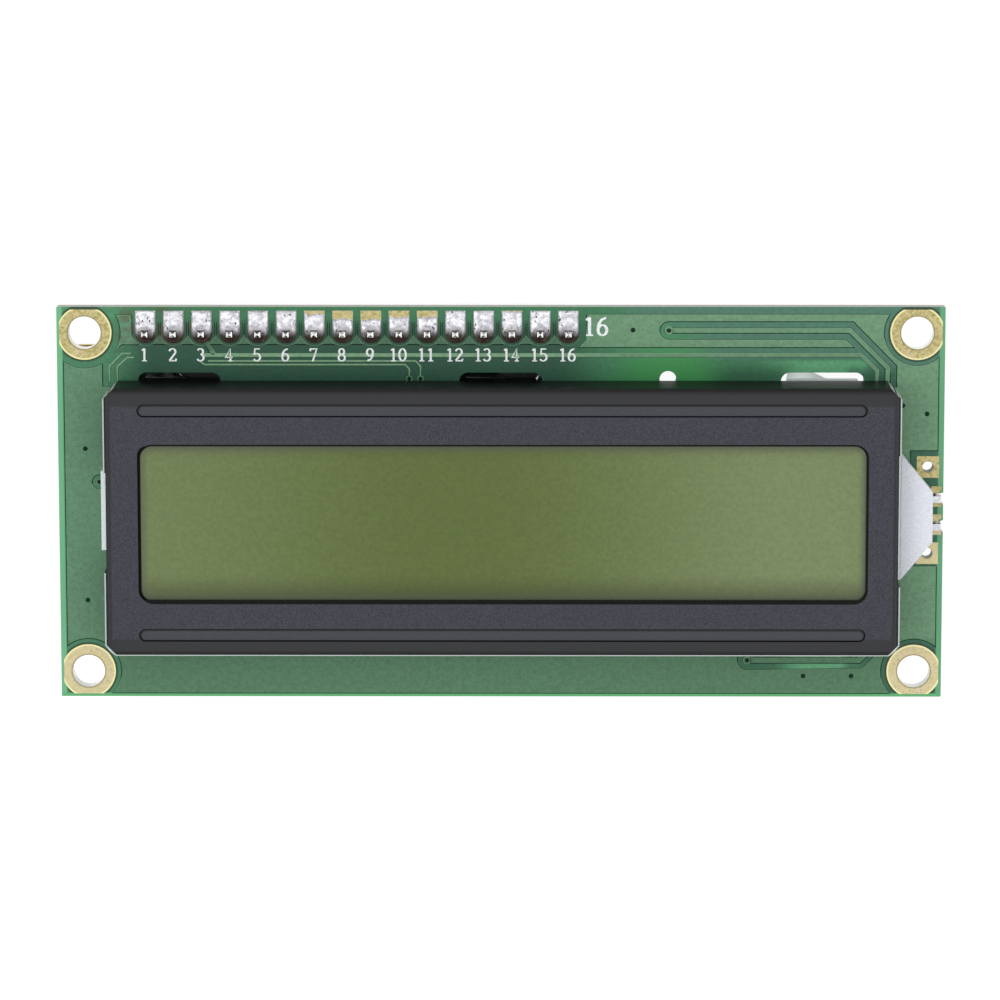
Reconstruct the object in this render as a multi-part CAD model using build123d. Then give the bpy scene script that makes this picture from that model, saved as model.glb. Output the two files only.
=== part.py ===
from build123d import *
import math
import os

os.makedirs("parts", exist_ok=True)

# Character display module with a serial adapter board behind it, in millimetres.
# The origin is the middle of the four mounting holes, on the main board's front face.
# +X runs along the pin row, +Y points to the pin row, +Z points out of the display.

# Main board
board_length = 80.0
board_width = 35.7
board_thickness = 1.6
board_corner_radius = 0.1
mounting_inset_x = 2.5
mounting_inset_y = 2.35
mounting_hole_diameter = 3.0

# Pin row, in line with the upper pair of mounting holes
pin_count = 16
pin_pitch = 2.54
first_pin_inset = 8.0
pin_side = 0.64
pin_hole_clearance = 0.05
pin_hole_sides = 8
pin_front_height = 1.4
pin_rear_height = 1.3
pin_tip_bevel = 0.16

# Bezel, folded from one sheet
display_shift = 0.15
bezel_end_margin = 4.3
bezel_upper_margin = 6.7
bezel_lower_margin = 4.7
sheet_thickness = 0.4
bend_inner_radius = 0.15
corner_cut = 1.0
window_end_frame = 3.1
window_side_frame = 5.15
window_corner_radius = 0.85
bead_width = 1.15
bead_depth = 0.2
bead_slope = 0.1
bead_inset = 1.97
rim_opening_depth = 0.24

# Bezel tabs and the slots they go through
tab_count = 3
tab_board_inset = 11.0
tab_width = 6.4
tab_reach = 1.5
tab_twist = 24.0
slot_end_clearance = 0.55
slot_side_clearance = 0.6
slot_shift = 0.14

# Glass, films and contact strips between the bezel and the main board
film_thickness = 0.2
glass_thickness = 0.9
glass_clearance = 0.35
contact_ledge = 2.4
polarizer_end_inset = 1.15
polarizer_side_inset = 0.8
zebra_end_inset = 1.95
zebra_width = 1.8

# Backlight guide with its tapered tab at the right
guide_thickness = 2.5
guide_end_clearance = 0.5
guide_side_clearance = 0.4
guide_tab_shift = 0.13
guide_tab_reach = 3.0
guide_tab_root_width = 11.4
guide_tab_tip_width = 4.5
guide_tab_neck = 0.15
guide_tongue_width = 7.2
guide_tongue_shift = 0.7
guide_tongue_reach = 0.4
tongue_opening_width = 9.1
wall_opening_clearance = 0.25
cover_film_thickness = 0.1

# Backlight lamp at the tip of the tab, and its two leads in edge notches
lamp_depth = 1.4
lamp_width = 3.4
lamp_roof = 0.4
lead_pitch = 2.54
lead_width = 0.6
lead_thickness = 0.15
lead_lift = 0.35
lead_edge_inset = 0.3
lead_tail = 0.15
notch_radius = 0.55
lead_solder_gap = 0.02

# Spare through holes for another backlight, and one tooling hole
spare_hole_diameter = 1.0
spare_hole_inset = 1.43
spare_hole_upper_y = 3.3
spare_hole_lower_y = -4.6
tooling_hole_diameter = 1.52
tooling_hole_x = 15.07
tooling_hole_rise = 0.12

# Encapsulated chips and small chips on the rear of the main board
controller_x = -14.0
controller_y = -6.2
controller_radius = 6.6
driver_x = 19.0
driver_y = -1.9
driver_radius = 5.2
blob_height = 1.5
blob_sides = 16
blob_steps = 3
chip_resistor_size = (2.0, 1.25, 0.5)
chip_capacitor_size = (2.0, 1.25, 0.9)
chip_end_cap = 0.4
chip_cap_step = 0.05
main_resistor_count = 7
main_resistor_pitch = 3.2
main_resistor_end_inset = 27.5
main_resistor_drop = 3.55
main_capacitor_count = 2
main_capacitor_pitch = 4.4
main_capacitor_end_inset = 7.4
main_capacitor_rise = 4.15

# Header strip between the two boards
header_height = 2.54
header_corner_cut = 0.45

# Adapter board
adapter_width = 19.0
adapter_thickness = 1.6
adapter_edge_to_row = 1.6
adapter_end_margin = 1.7

# Solder
joint_base_radius = 0.85
joint_top_radius = 0.55
joint_height = 0.85
joint_sides = 8

# Expander chip in a wide small-outline case
expander_left_inset = 15.6
expander_top_inset = 12.2
expander_length = 10.3
expander_width = 7.5
expander_height = 2.3
expander_standoff = 0.15
expander_leads_per_side = 8
expander_lead_pitch = 1.27
expander_lead_width = 0.42
expander_lead_thickness = 0.25
expander_foot = 0.8
expander_span = 10.3
expander_side_slope = 0.29
expander_index_radius = 0.6
expander_index_depth = 0.1

# Contrast trimmer
trimmer_right_inset = 10.4
trimmer_top_inset = 11.5
trimmer_length = 6.6
trimmer_width = 7.0
trimmer_height = 4.9
trimmer_corner_bevel = 0.4
rotor_diameter = 3.6
rotor_thickness = 1.5
rotor_recess = 0.25
rotor_clearance = 0.05
rotor_slot_width = 0.7
rotor_slot_length = 2.8
rotor_slot_depth = 0.8
trimmer_pin_side = 0.5
trimmer_pin_spacing = 2.54

# Right-angle bus header at the left end of the adapter
bus_pin_count = 4
bus_first_pin_inset = 3.9
bus_leg_inset = 3.9
bus_housing_gap = 1.2
bus_pin_reach = 6.0
bus_leg_tail = 0.75
pin_bend_radius = 0.5

# Right-angle jumper header at the right end, and its cap
jumper_pin_count = 2
jumper_first_pin_inset = 6.7
cap_length = 6.0
cap_width = 2.4
cap_height = 2.5
cap_gap = 0.2
cap_grip_depth = 0.25
cap_grip_width = 1.0
cap_edge_bevel = 0.3

# Small parts on the adapter
transistor_right_inset = 12.2
transistor_bottom_inset = 2.3
transistor_size = (2.9, 1.3, 1.0)
transistor_lead_width = 0.4
transistor_lead_thickness = 0.15
transistor_lead_reach = 0.55
transistor_lead_spacing = 0.95
small_parts_right_inset = 4.9
power_lamp_bottom_inset = 2.1
power_lamp_size = (2.0, 1.25, 0.8)
adapter_resistor_count = 5
adapter_resistor_pitch = 2.3
adapter_resistor_left_inset = 7.4
adapter_resistor_bottom_inset = 2.3
adapter_capacitor_count = 2
adapter_capacitor_pitch = 3.0
adapter_capacitor_bottom_inset = 5.3

# Heights worked out from the sizes above, back to front
guide_base = film_thickness
diffuser_base = guide_base + guide_thickness
polarizer_rear_base = diffuser_base + film_thickness
rear_glass_base = polarizer_rear_base + film_thickness
front_glass_base = rear_glass_base + glass_thickness
polarizer_front_base = front_glass_base + glass_thickness
bezel_underside = polarizer_front_base + film_thickness
bezel_height = bezel_underside + sheet_thickness
bend_radius = sheet_thickness + bend_inner_radius
board_rear = -board_thickness
adapter_front = board_rear - header_height
adapter_rear = adapter_front - adapter_thickness
right_angle_z = adapter_rear - header_height / 2

# The main board's pattern
mounting_spacing_x = board_length - 2 * mounting_inset_x
mounting_spacing_y = board_width - 2 * mounting_inset_y
first_pin_x = first_pin_inset - board_length / 2
pin_row_y = mounting_spacing_y / 2
pin_hole_radius = pin_side / math.sqrt(2) + pin_hole_clearance

# The bezel and what it holds
display_x = display_shift
display_y = (bezel_lower_margin - bezel_upper_margin) / 2
bezel_length = board_length - 2 * bezel_end_margin
bezel_width = board_width - bezel_upper_margin - bezel_lower_margin
bezel_right = display_x + bezel_length / 2
bezel_left = display_x - bezel_length / 2
bezel_upper = display_y + bezel_width / 2
bezel_lower = display_y - bezel_width / 2
window_length = bezel_length - 2 * window_end_frame
window_width = bezel_width - 2 * window_side_frame
bead_length = window_length
bead_offset = bezel_width / 2 - bead_inset
glass_length = bezel_length - 2 * (sheet_thickness + glass_clearance)
glass_width = bezel_width - 2 * (sheet_thickness + glass_clearance)
rear_glass_width = glass_width - 2 * contact_ledge
polarizer_length = glass_length - 2 * polarizer_end_inset
polarizer_width = rear_glass_width - 2 * polarizer_side_inset
zebra_length = glass_length - 2 * zebra_end_inset
zebra_offset = (glass_width - contact_ledge) / 2
guide_length = bezel_length - 2 * (sheet_thickness + guide_end_clearance)
guide_width = 2 * (zebra_offset - zebra_width / 2 - guide_side_clearance)
guide_tab_mid_y = display_y + guide_tab_shift
guide_tongue_mid_y = display_y + guide_tongue_shift
guide_tip_x = bezel_right + guide_tab_reach
lamp_height = guide_thickness - lamp_roof

# The slots for the bezel's tabs
tab_pitch = (board_length - 2 * tab_board_inset) / (tab_count - 1)
slot_length = tab_width + 2 * slot_end_clearance
slot_width = sheet_thickness + 2 * slot_side_clearance

# The adapter board and its layout
adapter_length = (pin_count - 1) * pin_pitch + 2 * adapter_end_margin
adapter_left = first_pin_x - adapter_end_margin
adapter_right = adapter_left + adapter_length
adapter_top = pin_row_y + adapter_edge_to_row
adapter_bottom = adapter_top - adapter_width
bus_leg_x = adapter_left + bus_leg_inset
bus_first_pin_y = adapter_top - bus_first_pin_inset
jumper_leg_x = adapter_right - bus_leg_inset
jumper_first_pin_y = adapter_top - jumper_first_pin_inset
expander_x = adapter_left + expander_left_inset
expander_y = adapter_top - expander_top_inset
trimmer_x = adapter_right - trimmer_right_inset
trimmer_y = adapter_top - trimmer_top_inset


def block(x_low, x_high, y_low, y_high, z_low, z_high):
    """A plain block between two corners."""
    middle = Pos((x_low + x_high) / 2, (y_low + y_high) / 2, (z_low + z_high) / 2)
    return middle * Box(x_high - x_low, y_high - y_low, z_high - z_low)


def centred_block(x, y, z_low, size):
    """A block that stands on z_low with its middle at x, y."""
    return block(x - size[0] / 2, x + size[0] / 2, y - size[1] / 2, y + size[1] / 2, z_low, z_low + size[2])


def hung_block(x, y, z_high, size):
    """A block that hangs below z_high, as a part on the rear of a board does."""
    return centred_block(x, y, z_high - size[2], size)


def drill(x, y, diameter, z_low, z_high):
    """A round cutter along Z."""
    return Pos(x, y, (z_low + z_high) / 2) * Cylinder(diameter / 2, z_high - z_low)


def pin_hole(x, y, z_low, z_high):
    """A cutter for a pin hole, with few flat sides because solder hides it."""
    return Pos(x, y, z_low) * extrude(RegularPolygon(pin_hole_radius, pin_hole_sides), z_high - z_low)


def square_pin(x, y, z_low, z_high, side):
    """A straight square pin with bevelled ends."""
    pin = block(x - side / 2, x + side / 2, y - side / 2, y + side / 2, z_low, z_high)
    ends = pin.faces().filter_by(Axis.Z).edges()
    return chamfer(ends, pin_tip_bevel)


def polygon_frustum(base_radius, top_radius, height, sides):
    """A flat-sided cone cut off at its top, standing on the XY plane."""
    inward = (base_radius - top_radius) * math.cos(math.pi / sides)
    slope = math.degrees(math.atan2(inward, height))
    return extrude(RegularPolygon(base_radius, sides), height, taper=slope)


def solder_cone(x, y, z_seat, direction, side):
    """A solder fillet round a square pin, standing off a board face up or down."""
    cone = polygon_frustum(joint_base_radius, joint_top_radius, joint_height, joint_sides)
    half = side / 2
    cone -= block(-half, half, -half, half, 0, joint_height)
    if direction < 0:
        cone = Rot(180, 0, 0) * cone
    return Pos(x, y, z_seat) * cone


def pin_row():
    """The X of each pin in the main row."""
    return [first_pin_x + index * pin_pitch for index in range(pin_count)]


def bus_row():
    """The Y of each pin of the bus header."""
    return [bus_first_pin_y - index * pin_pitch for index in range(bus_pin_count)]


def jumper_row():
    """The Y of each pin of the jumper header."""
    return [jumper_first_pin_y - index * pin_pitch for index in range(jumper_pin_count)]


def trimmer_pin_places():
    """The three trimmer legs, the wiper opposite the two ends."""
    half = trimmer_pin_spacing
    return [
        (trimmer_x - half, trimmer_y - half),
        (trimmer_x + half, trimmer_y - half),
        (trimmer_x, trimmer_y + half),
    ]


def tab_places():
    """The X of each bezel tab, from one end of the main board to the other."""
    first = tab_board_inset - board_length / 2
    return [first + index * tab_pitch for index in range(tab_count)]


def lead_places():
    """The Y of each backlight lead."""
    return [guide_tab_mid_y + lead_pitch / 2, guide_tab_mid_y - lead_pitch / 2]


def make_main_board():
    """The main board with its holes, slots and edge notches."""
    outline = RectangleRounded(board_length, board_width, board_corner_radius)
    board = extrude(Pos(0, 0, board_rear) * outline, board_thickness)
    cuts = []
    for side_x in (-1, 1):
        for side_y in (-1, 1):
            x = side_x * mounting_spacing_x / 2
            y = side_y * mounting_spacing_y / 2
            cuts.append(drill(x, y, mounting_hole_diameter, board_rear, 0))
    for x in pin_row():
        cuts.append(pin_hole(x, pin_row_y, board_rear, 0))
    spare_hole_x = board_length / 2 - spare_hole_inset
    for y in (spare_hole_upper_y, spare_hole_lower_y):
        cuts.append(drill(spare_hole_x, y, spare_hole_diameter, board_rear, 0))
    tooling_hole_y = bezel_upper + tooling_hole_rise
    cuts.append(drill(tooling_hole_x, tooling_hole_y, tooling_hole_diameter, board_rear, 0))
    for y in lead_places():
        cuts.append(drill(board_length / 2, y, 2 * notch_radius, board_rear, 0))
    slot = SlotOverall(slot_length, slot_width)
    for x in tab_places():
        for side, wall in ((1, bezel_upper), (-1, bezel_lower)):
            y = wall - side * (sheet_thickness / 2 - slot_shift)
            cuts.append(extrude(Pos(x, y, board_rear) * slot, board_thickness))
    return board - cuts


def bead(z_top, grow):
    """A pressed stadium with sloping sides, cut above the sheet or added below it."""
    upper = SlotOverall(bead_length + grow, bead_width + grow)
    lower = SlotOverall(bead_length + grow - 2 * bead_slope, bead_width + grow - 2 * bead_slope)
    return loft([Pos(0, 0, z_top) * upper, Pos(0, 0, z_top - bead_depth) * lower])


def make_tab(x, y):
    """One bezel tab, straight through the main board and twisted behind it."""
    section = Rectangle(tab_width, sheet_thickness)
    straight = centred_block(x, y, board_rear, (tab_width, sheet_thickness, board_thickness))
    bottom = Pos(x, y, board_rear - tab_reach) * Rot(0, 0, -tab_twist) * section
    return straight + loft([Pos(x, y, board_rear) * section, bottom])


def make_bezel():
    """The folded sheet frame with its window, two beads, wall openings up through the bends, and tabs."""
    shell = Pos(0, 0, bezel_height / 2) * Box(bezel_length, bezel_width, bezel_height)
    shell = fillet(shell.faces().sort_by(Axis.Z)[-1].edges(), bend_radius)
    inner_length = bezel_length - 2 * sheet_thickness
    inner_width = bezel_width - 2 * sheet_thickness
    hollow = Pos(0, 0, bezel_underside / 2) * Box(inner_length, inner_width, bezel_underside)
    hollow = fillet(hollow.faces().sort_by(Axis.Z)[-1].edges(), bend_radius - sheet_thickness)
    shell -= hollow
    corner = extrude(Rectangle(corner_cut * math.sqrt(2), corner_cut * math.sqrt(2)), bezel_height)
    for side_x in (-1, 1):
        for side_y in (-1, 1):
            place = Pos(side_x * bezel_length / 2, side_y * bezel_width / 2, 0)
            shell -= place * Rot(0, 0, 45) * corner
    window = RectangleRounded(window_length, window_width, window_corner_radius)
    shell -= extrude(Pos(0, 0, bezel_underside) * window, sheet_thickness)
    for side in (-1, 1):
        place = Pos(0, side * bead_offset, 0)
        shell += place * bead(bezel_underside, 2 * bead_slope)
        shell -= place * bead(bezel_height, 0)
    shell = Pos(display_x, display_y, 0) * shell
    tab_half = guide_tab_root_width / 2 + wall_opening_clearance
    low, high = guide_tab_mid_y - tab_half, guide_tab_mid_y + tab_half
    shell -= block(bezel_right - sheet_thickness, bezel_right, low, high, 0, bezel_underside)
    shell -= block(bezel_right - rim_opening_depth, bezel_right, low, high, bezel_underside, bezel_height)
    low, high = display_y - tongue_opening_width / 2, display_y + tongue_opening_width / 2
    shell -= block(bezel_left, bezel_left + sheet_thickness, low, high, 0, bezel_underside)
    shell -= block(bezel_left, bezel_left + rim_opening_depth, low, high, bezel_underside, bezel_height)
    for x in tab_places():
        shell += make_tab(x, bezel_upper - sheet_thickness / 2)
        shell += make_tab(x, bezel_lower + sheet_thickness / 2)
    return shell


def sheet(length, width, z_low, thickness):
    """A flat film or glass plate, centred on the display."""
    return centred_block(display_x, display_y, z_low, (length, width, thickness))


def make_light_guide():
    """The clear backlight plate with a tongue at the left and a tapered tab at the right."""
    half_length = guide_length / 2
    plate = sheet(guide_length, guide_width, guide_base, guide_thickness)
    root = guide_tab_root_width / 2
    tip = guide_tab_tip_width / 2
    inside = display_x + half_length - film_thickness
    neck = bezel_right + guide_tab_neck
    y = guide_tab_mid_y
    tab_outline = Polyline(
        (inside, y - root),
        (neck, y - root),
        (guide_tip_x, y - tip),
        (guide_tip_x, y + tip),
        (neck, y + root),
        (inside, y + root),
        close=True,
    )
    tab = extrude(Pos(0, 0, guide_base) * make_face(tab_outline), guide_thickness)
    low, high = guide_tongue_mid_y - guide_tongue_width / 2, guide_tongue_mid_y + guide_tongue_width / 2
    inside_left = display_x - half_length + film_thickness
    tongue = block(bezel_left - guide_tongue_reach, inside_left, low, high, guide_base, diffuser_base)
    pocket = block(
        guide_tip_x - lamp_depth, guide_tip_x, y - lamp_width / 2, y + lamp_width / 2,
        guide_base, guide_base + lamp_height,
    )
    return plate + tab + tongue - pocket


def make_cover_film():
    """The white film over the tapered tab."""
    root = guide_tab_root_width / 2
    tip = guide_tab_tip_width / 2
    neck = bezel_right + guide_tab_neck
    y = guide_tab_mid_y
    outline = Polyline(
        (neck, y - root),
        (guide_tip_x, y - tip),
        (guide_tip_x, y + tip),
        (neck, y + root),
        close=True,
    )
    return extrude(Pos(0, 0, diffuser_base) * make_face(outline), cover_film_thickness)


def make_lamp():
    """The side-shining lamp in the pocket at the tab's tip."""
    y = guide_tab_mid_y
    half = lamp_width / 2
    return block(guide_tip_x - lamp_depth, guide_tip_x, y - half, y + half, guide_base, guide_base + lamp_height)


def make_lead(y):
    """One flat lead from the lamp, out over the board and down through its notch."""
    outer = board_length / 2 - lead_edge_inset + lead_thickness / 2
    inner = outer - lead_thickness
    top = guide_base + lead_lift
    half = lead_width / 2
    across = block(guide_tip_x, outer, y - half, y + half, top - lead_thickness, top)
    down = block(inner, outer, y - half, y + half, board_rear - lead_tail, top)
    lead = across + down
    bend = lead.edges().filter_by(Axis.Y).group_by(Axis.Z)[-1].sort_by(Axis.X)[-1]
    return fillet(bend, lead_thickness / 2)


def make_lead_solder():
    """The solder that fills the two edge notches round the leads."""
    joints = []
    for y in lead_places():
        fill = drill(board_length / 2, y, 2 * (notch_radius - lead_solder_gap), board_rear, 0)
        inner = board_length / 2 - notch_radius
        fill &= block(inner, board_length / 2, y - notch_radius, y + notch_radius, board_rear, 0)
        joints.append(fill - make_lead(y))
    return joints


def make_blob(x, y, radius):
    """A round drop of black resin over a bare chip, a flat-sided dome with its crown left off."""
    turns = [math.pi / 2 * index / blob_steps for index in range(blob_steps)]
    rings = [(radius * math.cos(turn), blob_height * math.sin(turn)) for turn in turns]
    drop = None
    for (low_radius, low), (high_radius, high) in zip(rings[:-1], rings[1:]):
        ring = Pos(0, 0, low) * polygon_frustum(low_radius, high_radius, high - low, blob_sides)
        drop = ring if drop is None else drop + ring
    return Pos(x, y, board_rear) * Rot(180, 0, 0) * drop


def make_chip(x, y, z_seat, size):
    """A small two-ended chip, its metal end caps standing a little proud of its body."""
    length, width, height = size
    step = chip_cap_step
    body = hung_block(x, y, z_seat - step, (length - chip_end_cap, width - step, height - 2 * step))
    for side in (-1, 1):
        cap_x = x + side * (length - chip_end_cap) / 2
        body += hung_block(cap_x, y, z_seat, (chip_end_cap, width, height))
    return body


def make_chip_row(x, y, z_seat, size, count, pitch):
    """A column of chips, one above the other."""
    return [make_chip(x, y + index * pitch, z_seat, size) for index in range(count)]


def housing_outline(count):
    """The notched outline of a break-away header strip along X, starting at its first pin."""
    half = header_height / 2
    cut = header_corner_cut
    strip = None
    for index in range(count):
        x = index * pin_pitch
        cell = Polyline(
            (x - pin_pitch / 2, -half + cut),
            (x - pin_pitch / 2 + cut, -half),
            (x + pin_pitch / 2 - cut, -half),
            (x + pin_pitch / 2, -half + cut),
            (x + pin_pitch / 2, half - cut),
            (x + pin_pitch / 2 - cut, half),
            (x - pin_pitch / 2 + cut, half),
            (x - pin_pitch / 2, half - cut),
            close=True,
        )
        cell = make_face(cell)
        strip = cell if strip is None else strip + cell
    holes = [Pos(index * pin_pitch, 0, 0) * Rectangle(pin_side, pin_side) for index in range(count)]
    return strip - holes


def make_header_housing():
    """The plastic strip that spaces the adapter off the main board."""
    outline = Pos(first_pin_x, pin_row_y, adapter_front) * housing_outline(pin_count)
    return extrude(outline, header_height)


def make_right_angle_housing(x_side, leg_x, first_y, count):
    """A header strip turned on its side, its pins leaving along X."""
    near = leg_x + x_side * bus_housing_gap
    low = min(near, near + x_side * header_height)
    strip = extrude(housing_outline(count), header_height)
    turned = Plane(origin=(low, first_y, right_angle_z), x_dir=(0, -1, 0), z_dir=(1, 0, 0))
    return turned.location * strip


def make_right_angle_pin(x_side, leg_x, y):
    """A square pin that leaves along X and bends up into the adapter board."""
    far = leg_x + x_side * (bus_housing_gap + header_height + bus_pin_reach)
    half = pin_side / 2
    top = adapter_front + bus_leg_tail
    low_x, high_x = min(leg_x - x_side * half, far), max(leg_x - x_side * half, far)
    arm = block(low_x, high_x, y - half, y + half, right_angle_z - half, right_angle_z + half)
    leg = block(leg_x - half, leg_x + half, y - half, y + half, right_angle_z - half, top)
    pin = arm + leg
    corner = pin.edges().filter_by(Axis.Y).group_by(Axis.Z)[0]
    bend = corner.sort_by(Axis.X)[0] if x_side > 0 else corner.sort_by(Axis.X)[-1]
    pin = fillet(bend, pin_bend_radius)
    end_face = pin.faces().sort_by(Axis.X)[-1 if x_side > 0 else 0]
    pin = chamfer(end_face.edges(), pin_tip_bevel)
    return pin


def make_adapter_board():
    """The small black board that turns the pin row into a four-wire bus."""
    board = block(adapter_left, adapter_right, adapter_bottom, adapter_top, adapter_rear, adapter_front)
    places = [(x, pin_row_y) for x in pin_row()]
    places += [(bus_leg_x, y) for y in bus_row()]
    places += [(jumper_leg_x, y) for y in jumper_row()]
    places += trimmer_pin_places()
    return board - [pin_hole(x, y, adapter_rear, adapter_front) for x, y in places]


def make_adapter_joints():
    """The solder on the adapter: the pin row behind it, the other legs in front of it."""
    joints = [solder_cone(x, pin_row_y, adapter_rear, -1, pin_side) for x in pin_row()]
    joints += [solder_cone(bus_leg_x, y, adapter_front, 1, pin_side) for y in bus_row()]
    joints += [solder_cone(jumper_leg_x, y, adapter_front, 1, pin_side) for y in jumper_row()]
    joints += [solder_cone(x, y, adapter_front, 1, trimmer_pin_side) for x, y in trimmer_pin_places()]
    return joints


def make_expander_body():
    """The chip's moulded case, its four sides sloping from the lead line."""
    top = adapter_rear - expander_standoff
    middle = top - expander_height / 2
    bottom = top - expander_height
    slope = expander_side_slope
    wide = Rectangle(expander_length, expander_width)
    narrow = Rectangle(expander_length - slope, expander_width - slope)
    upper = loft([Pos(0, 0, middle) * wide, Pos(0, 0, top) * narrow])
    lower = loft([Pos(0, 0, bottom) * narrow, Pos(0, 0, middle) * wide])
    body = Pos(expander_x, expander_y, 0) * (upper + lower)
    index_x = expander_x - expander_length / 2 + 2 * expander_index_radius
    index_y = expander_y - expander_width / 2 + 2 * expander_index_radius
    return body - drill(index_x, index_y, 2 * expander_index_radius, bottom, bottom + expander_index_depth)


def make_expander_leads():
    """Sixteen gull-wing leads, eight on each long side."""
    seat = adapter_rear
    shoulder = adapter_rear - expander_standoff - expander_height / 2
    thick = expander_lead_thickness
    inner = expander_width / 2
    foot_start = expander_span / 2 - expander_foot
    outer = expander_span / 2
    profile = Polyline(
        (inner, shoulder + thick / 2),
        (foot_start - thick, shoulder + thick / 2),
        (foot_start, seat - thick),
        (outer, seat - thick),
        (outer, seat),
        (foot_start - thick, seat),
        (foot_start - 2 * thick, shoulder + 3 * thick / 2),
        (inner, shoulder + 3 * thick / 2),
        close=True,
    )
    first = expander_x - (expander_leads_per_side - 1) / 2 * expander_lead_pitch
    leads = []
    for index in range(expander_leads_per_side):
        x = first + index * expander_lead_pitch
        for side in (-1, 1):
            origin = (x - side * expander_lead_width / 2, expander_y, 0)
            plane = Plane(origin=origin, x_dir=(0, side, 0), z_dir=(side, 0, 0))
            lead = extrude(make_face(profile), expander_lead_width)
            leads.append(plane.location * lead)
    return leads


def make_trimmer_body():
    """The square trimmer case with a round well for its rotor."""
    size = (trimmer_length, trimmer_width, trimmer_height)
    body = hung_block(trimmer_x, trimmer_y, adapter_rear, size)
    body = chamfer(body.edges().filter_by(Axis.Z), trimmer_corner_bevel)
    floor = adapter_rear - trimmer_height
    well = floor + rotor_recess + rotor_thickness
    return body - drill(trimmer_x, trimmer_y, rotor_diameter + 2 * rotor_clearance, floor, well)


def make_trimmer_rotor():
    """The round rotor with a cross slot for a screwdriver."""
    floor = adapter_rear - trimmer_height + rotor_recess
    rotor = drill(trimmer_x, trimmer_y, rotor_diameter, floor, floor + rotor_thickness)
    half_long = rotor_slot_length / 2
    half_wide = rotor_slot_width / 2
    x, y = trimmer_x, trimmer_y
    rotor -= block(x - half_long, x + half_long, y - half_wide, y + half_wide, floor, floor + rotor_slot_depth)
    rotor -= block(x - half_wide, x + half_wide, y - half_long, y + half_long, floor, floor + rotor_slot_depth)
    return rotor


def make_trimmer_pins():
    """The three trimmer legs through the adapter."""
    tip = adapter_front + bus_leg_tail
    half = trimmer_pin_side / 2
    return [block(x - half, x + half, y - half, y + half, adapter_rear, tip) for x, y in trimmer_pin_places()]


def make_jumper_cap():
    """The plastic cap pushed over the two jumper pins, with a finger groove across each side."""
    near = jumper_leg_x + bus_housing_gap + header_height + cap_gap
    far = near + cap_length
    span = (jumper_pin_count - 1) * pin_pitch
    mid_y = jumper_first_pin_y - span / 2
    half_y = (span + cap_width) / 2
    low, high = right_angle_z - cap_height / 2, right_angle_z + cap_height / 2
    cap = block(near, far, mid_y - half_y, mid_y + half_y, low, high)
    cap = chamfer(cap.edges().filter_by(Axis.X), cap_edge_bevel)
    groove_x = far - 2 * cap_grip_width
    for edge in (low, high - cap_grip_depth):
        cap -= block(groove_x, groove_x + cap_grip_width, mid_y - half_y, mid_y + half_y, edge, edge + cap_grip_depth)
    for y in jumper_row():
        cap -= make_right_angle_pin(1, jumper_leg_x, y)
    return cap


def make_transistor():
    """The small three-legged transistor that switches the backlight."""
    length, width, height = transistor_size
    lift = transistor_lead_thickness
    transistor_x = adapter_right - transistor_right_inset
    transistor_y = adapter_bottom + transistor_bottom_inset
    body = hung_block(transistor_x, transistor_y, adapter_rear - lift, transistor_size)
    places = ((-transistor_lead_spacing, -1), (transistor_lead_spacing, -1), (0, 1))
    for x_shift, side in places:
        y = transistor_y + side * (width / 2 + transistor_lead_reach / 2)
        foot = (transistor_lead_width, transistor_lead_reach, lift)
        body += hung_block(transistor_x + x_shift, y, adapter_rear, foot)
        y = transistor_y + side * (width / 2 + lift / 2)
        rise = (transistor_lead_width, lift, height / 2 + lift)
        body += hung_block(transistor_x + x_shift, y, adapter_rear, rise)
    return body


def save(name, shape):
    """Write one node, a single solid or a group of separate ones."""
    if isinstance(shape, list):
        shape = Compound(children=shape)
    export_step(shape, "parts/" + name + ".step")


# Main board and what it carries in front
save("main_board", make_main_board())
save("bezel", make_bezel())
save("front_polarizer", sheet(polarizer_length, polarizer_width, polarizer_front_base, film_thickness))
save("front_glass", sheet(glass_length, glass_width, front_glass_base, glass_thickness))
save("rear_glass", sheet(glass_length, rear_glass_width, rear_glass_base, glass_thickness))
save("rear_polarizer", sheet(polarizer_length, polarizer_width, polarizer_rear_base, film_thickness))
save("diffuser_film", sheet(guide_length, guide_width, diffuser_base, film_thickness))
save("light_guide", make_light_guide())
save("reflector_film", sheet(guide_length, guide_width, 0, guide_base))
save("tab_cover_film", make_cover_film())
save("backlight_lamp", make_lamp())
for name, y in zip(("backlight_lead_upper", "backlight_lead_lower"), lead_places()):
    save(name, make_lead(y))
save("lead_solder", make_lead_solder())
for name, side in (("zebra_strip_upper", 1), ("zebra_strip_lower", -1)):
    zebra_size = (zebra_length, zebra_width, front_glass_base)
    save(name, centred_block(display_x, display_y + side * zebra_offset, 0, zebra_size))

# Rear of the main board
save("controller_blob", make_blob(controller_x, controller_y, controller_radius))
save("driver_blob", make_blob(driver_x, driver_y, driver_radius))
main_resistor_x = board_length / 2 - main_resistor_end_inset
main_resistor_y = bezel_upper - main_resistor_drop
main_resistors = [
    make_chip(main_resistor_x + index * main_resistor_pitch, main_resistor_y, board_rear, chip_resistor_size)
    for index in range(main_resistor_count)
]
save("main_board_resistors", main_resistors)
main_capacitors = make_chip_row(
    board_length / 2 - main_capacitor_end_inset, bezel_lower + main_capacitor_rise, board_rear,
    chip_capacitor_size, main_capacitor_count, main_capacitor_pitch,
)
save("main_board_capacitors", main_capacitors)

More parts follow.
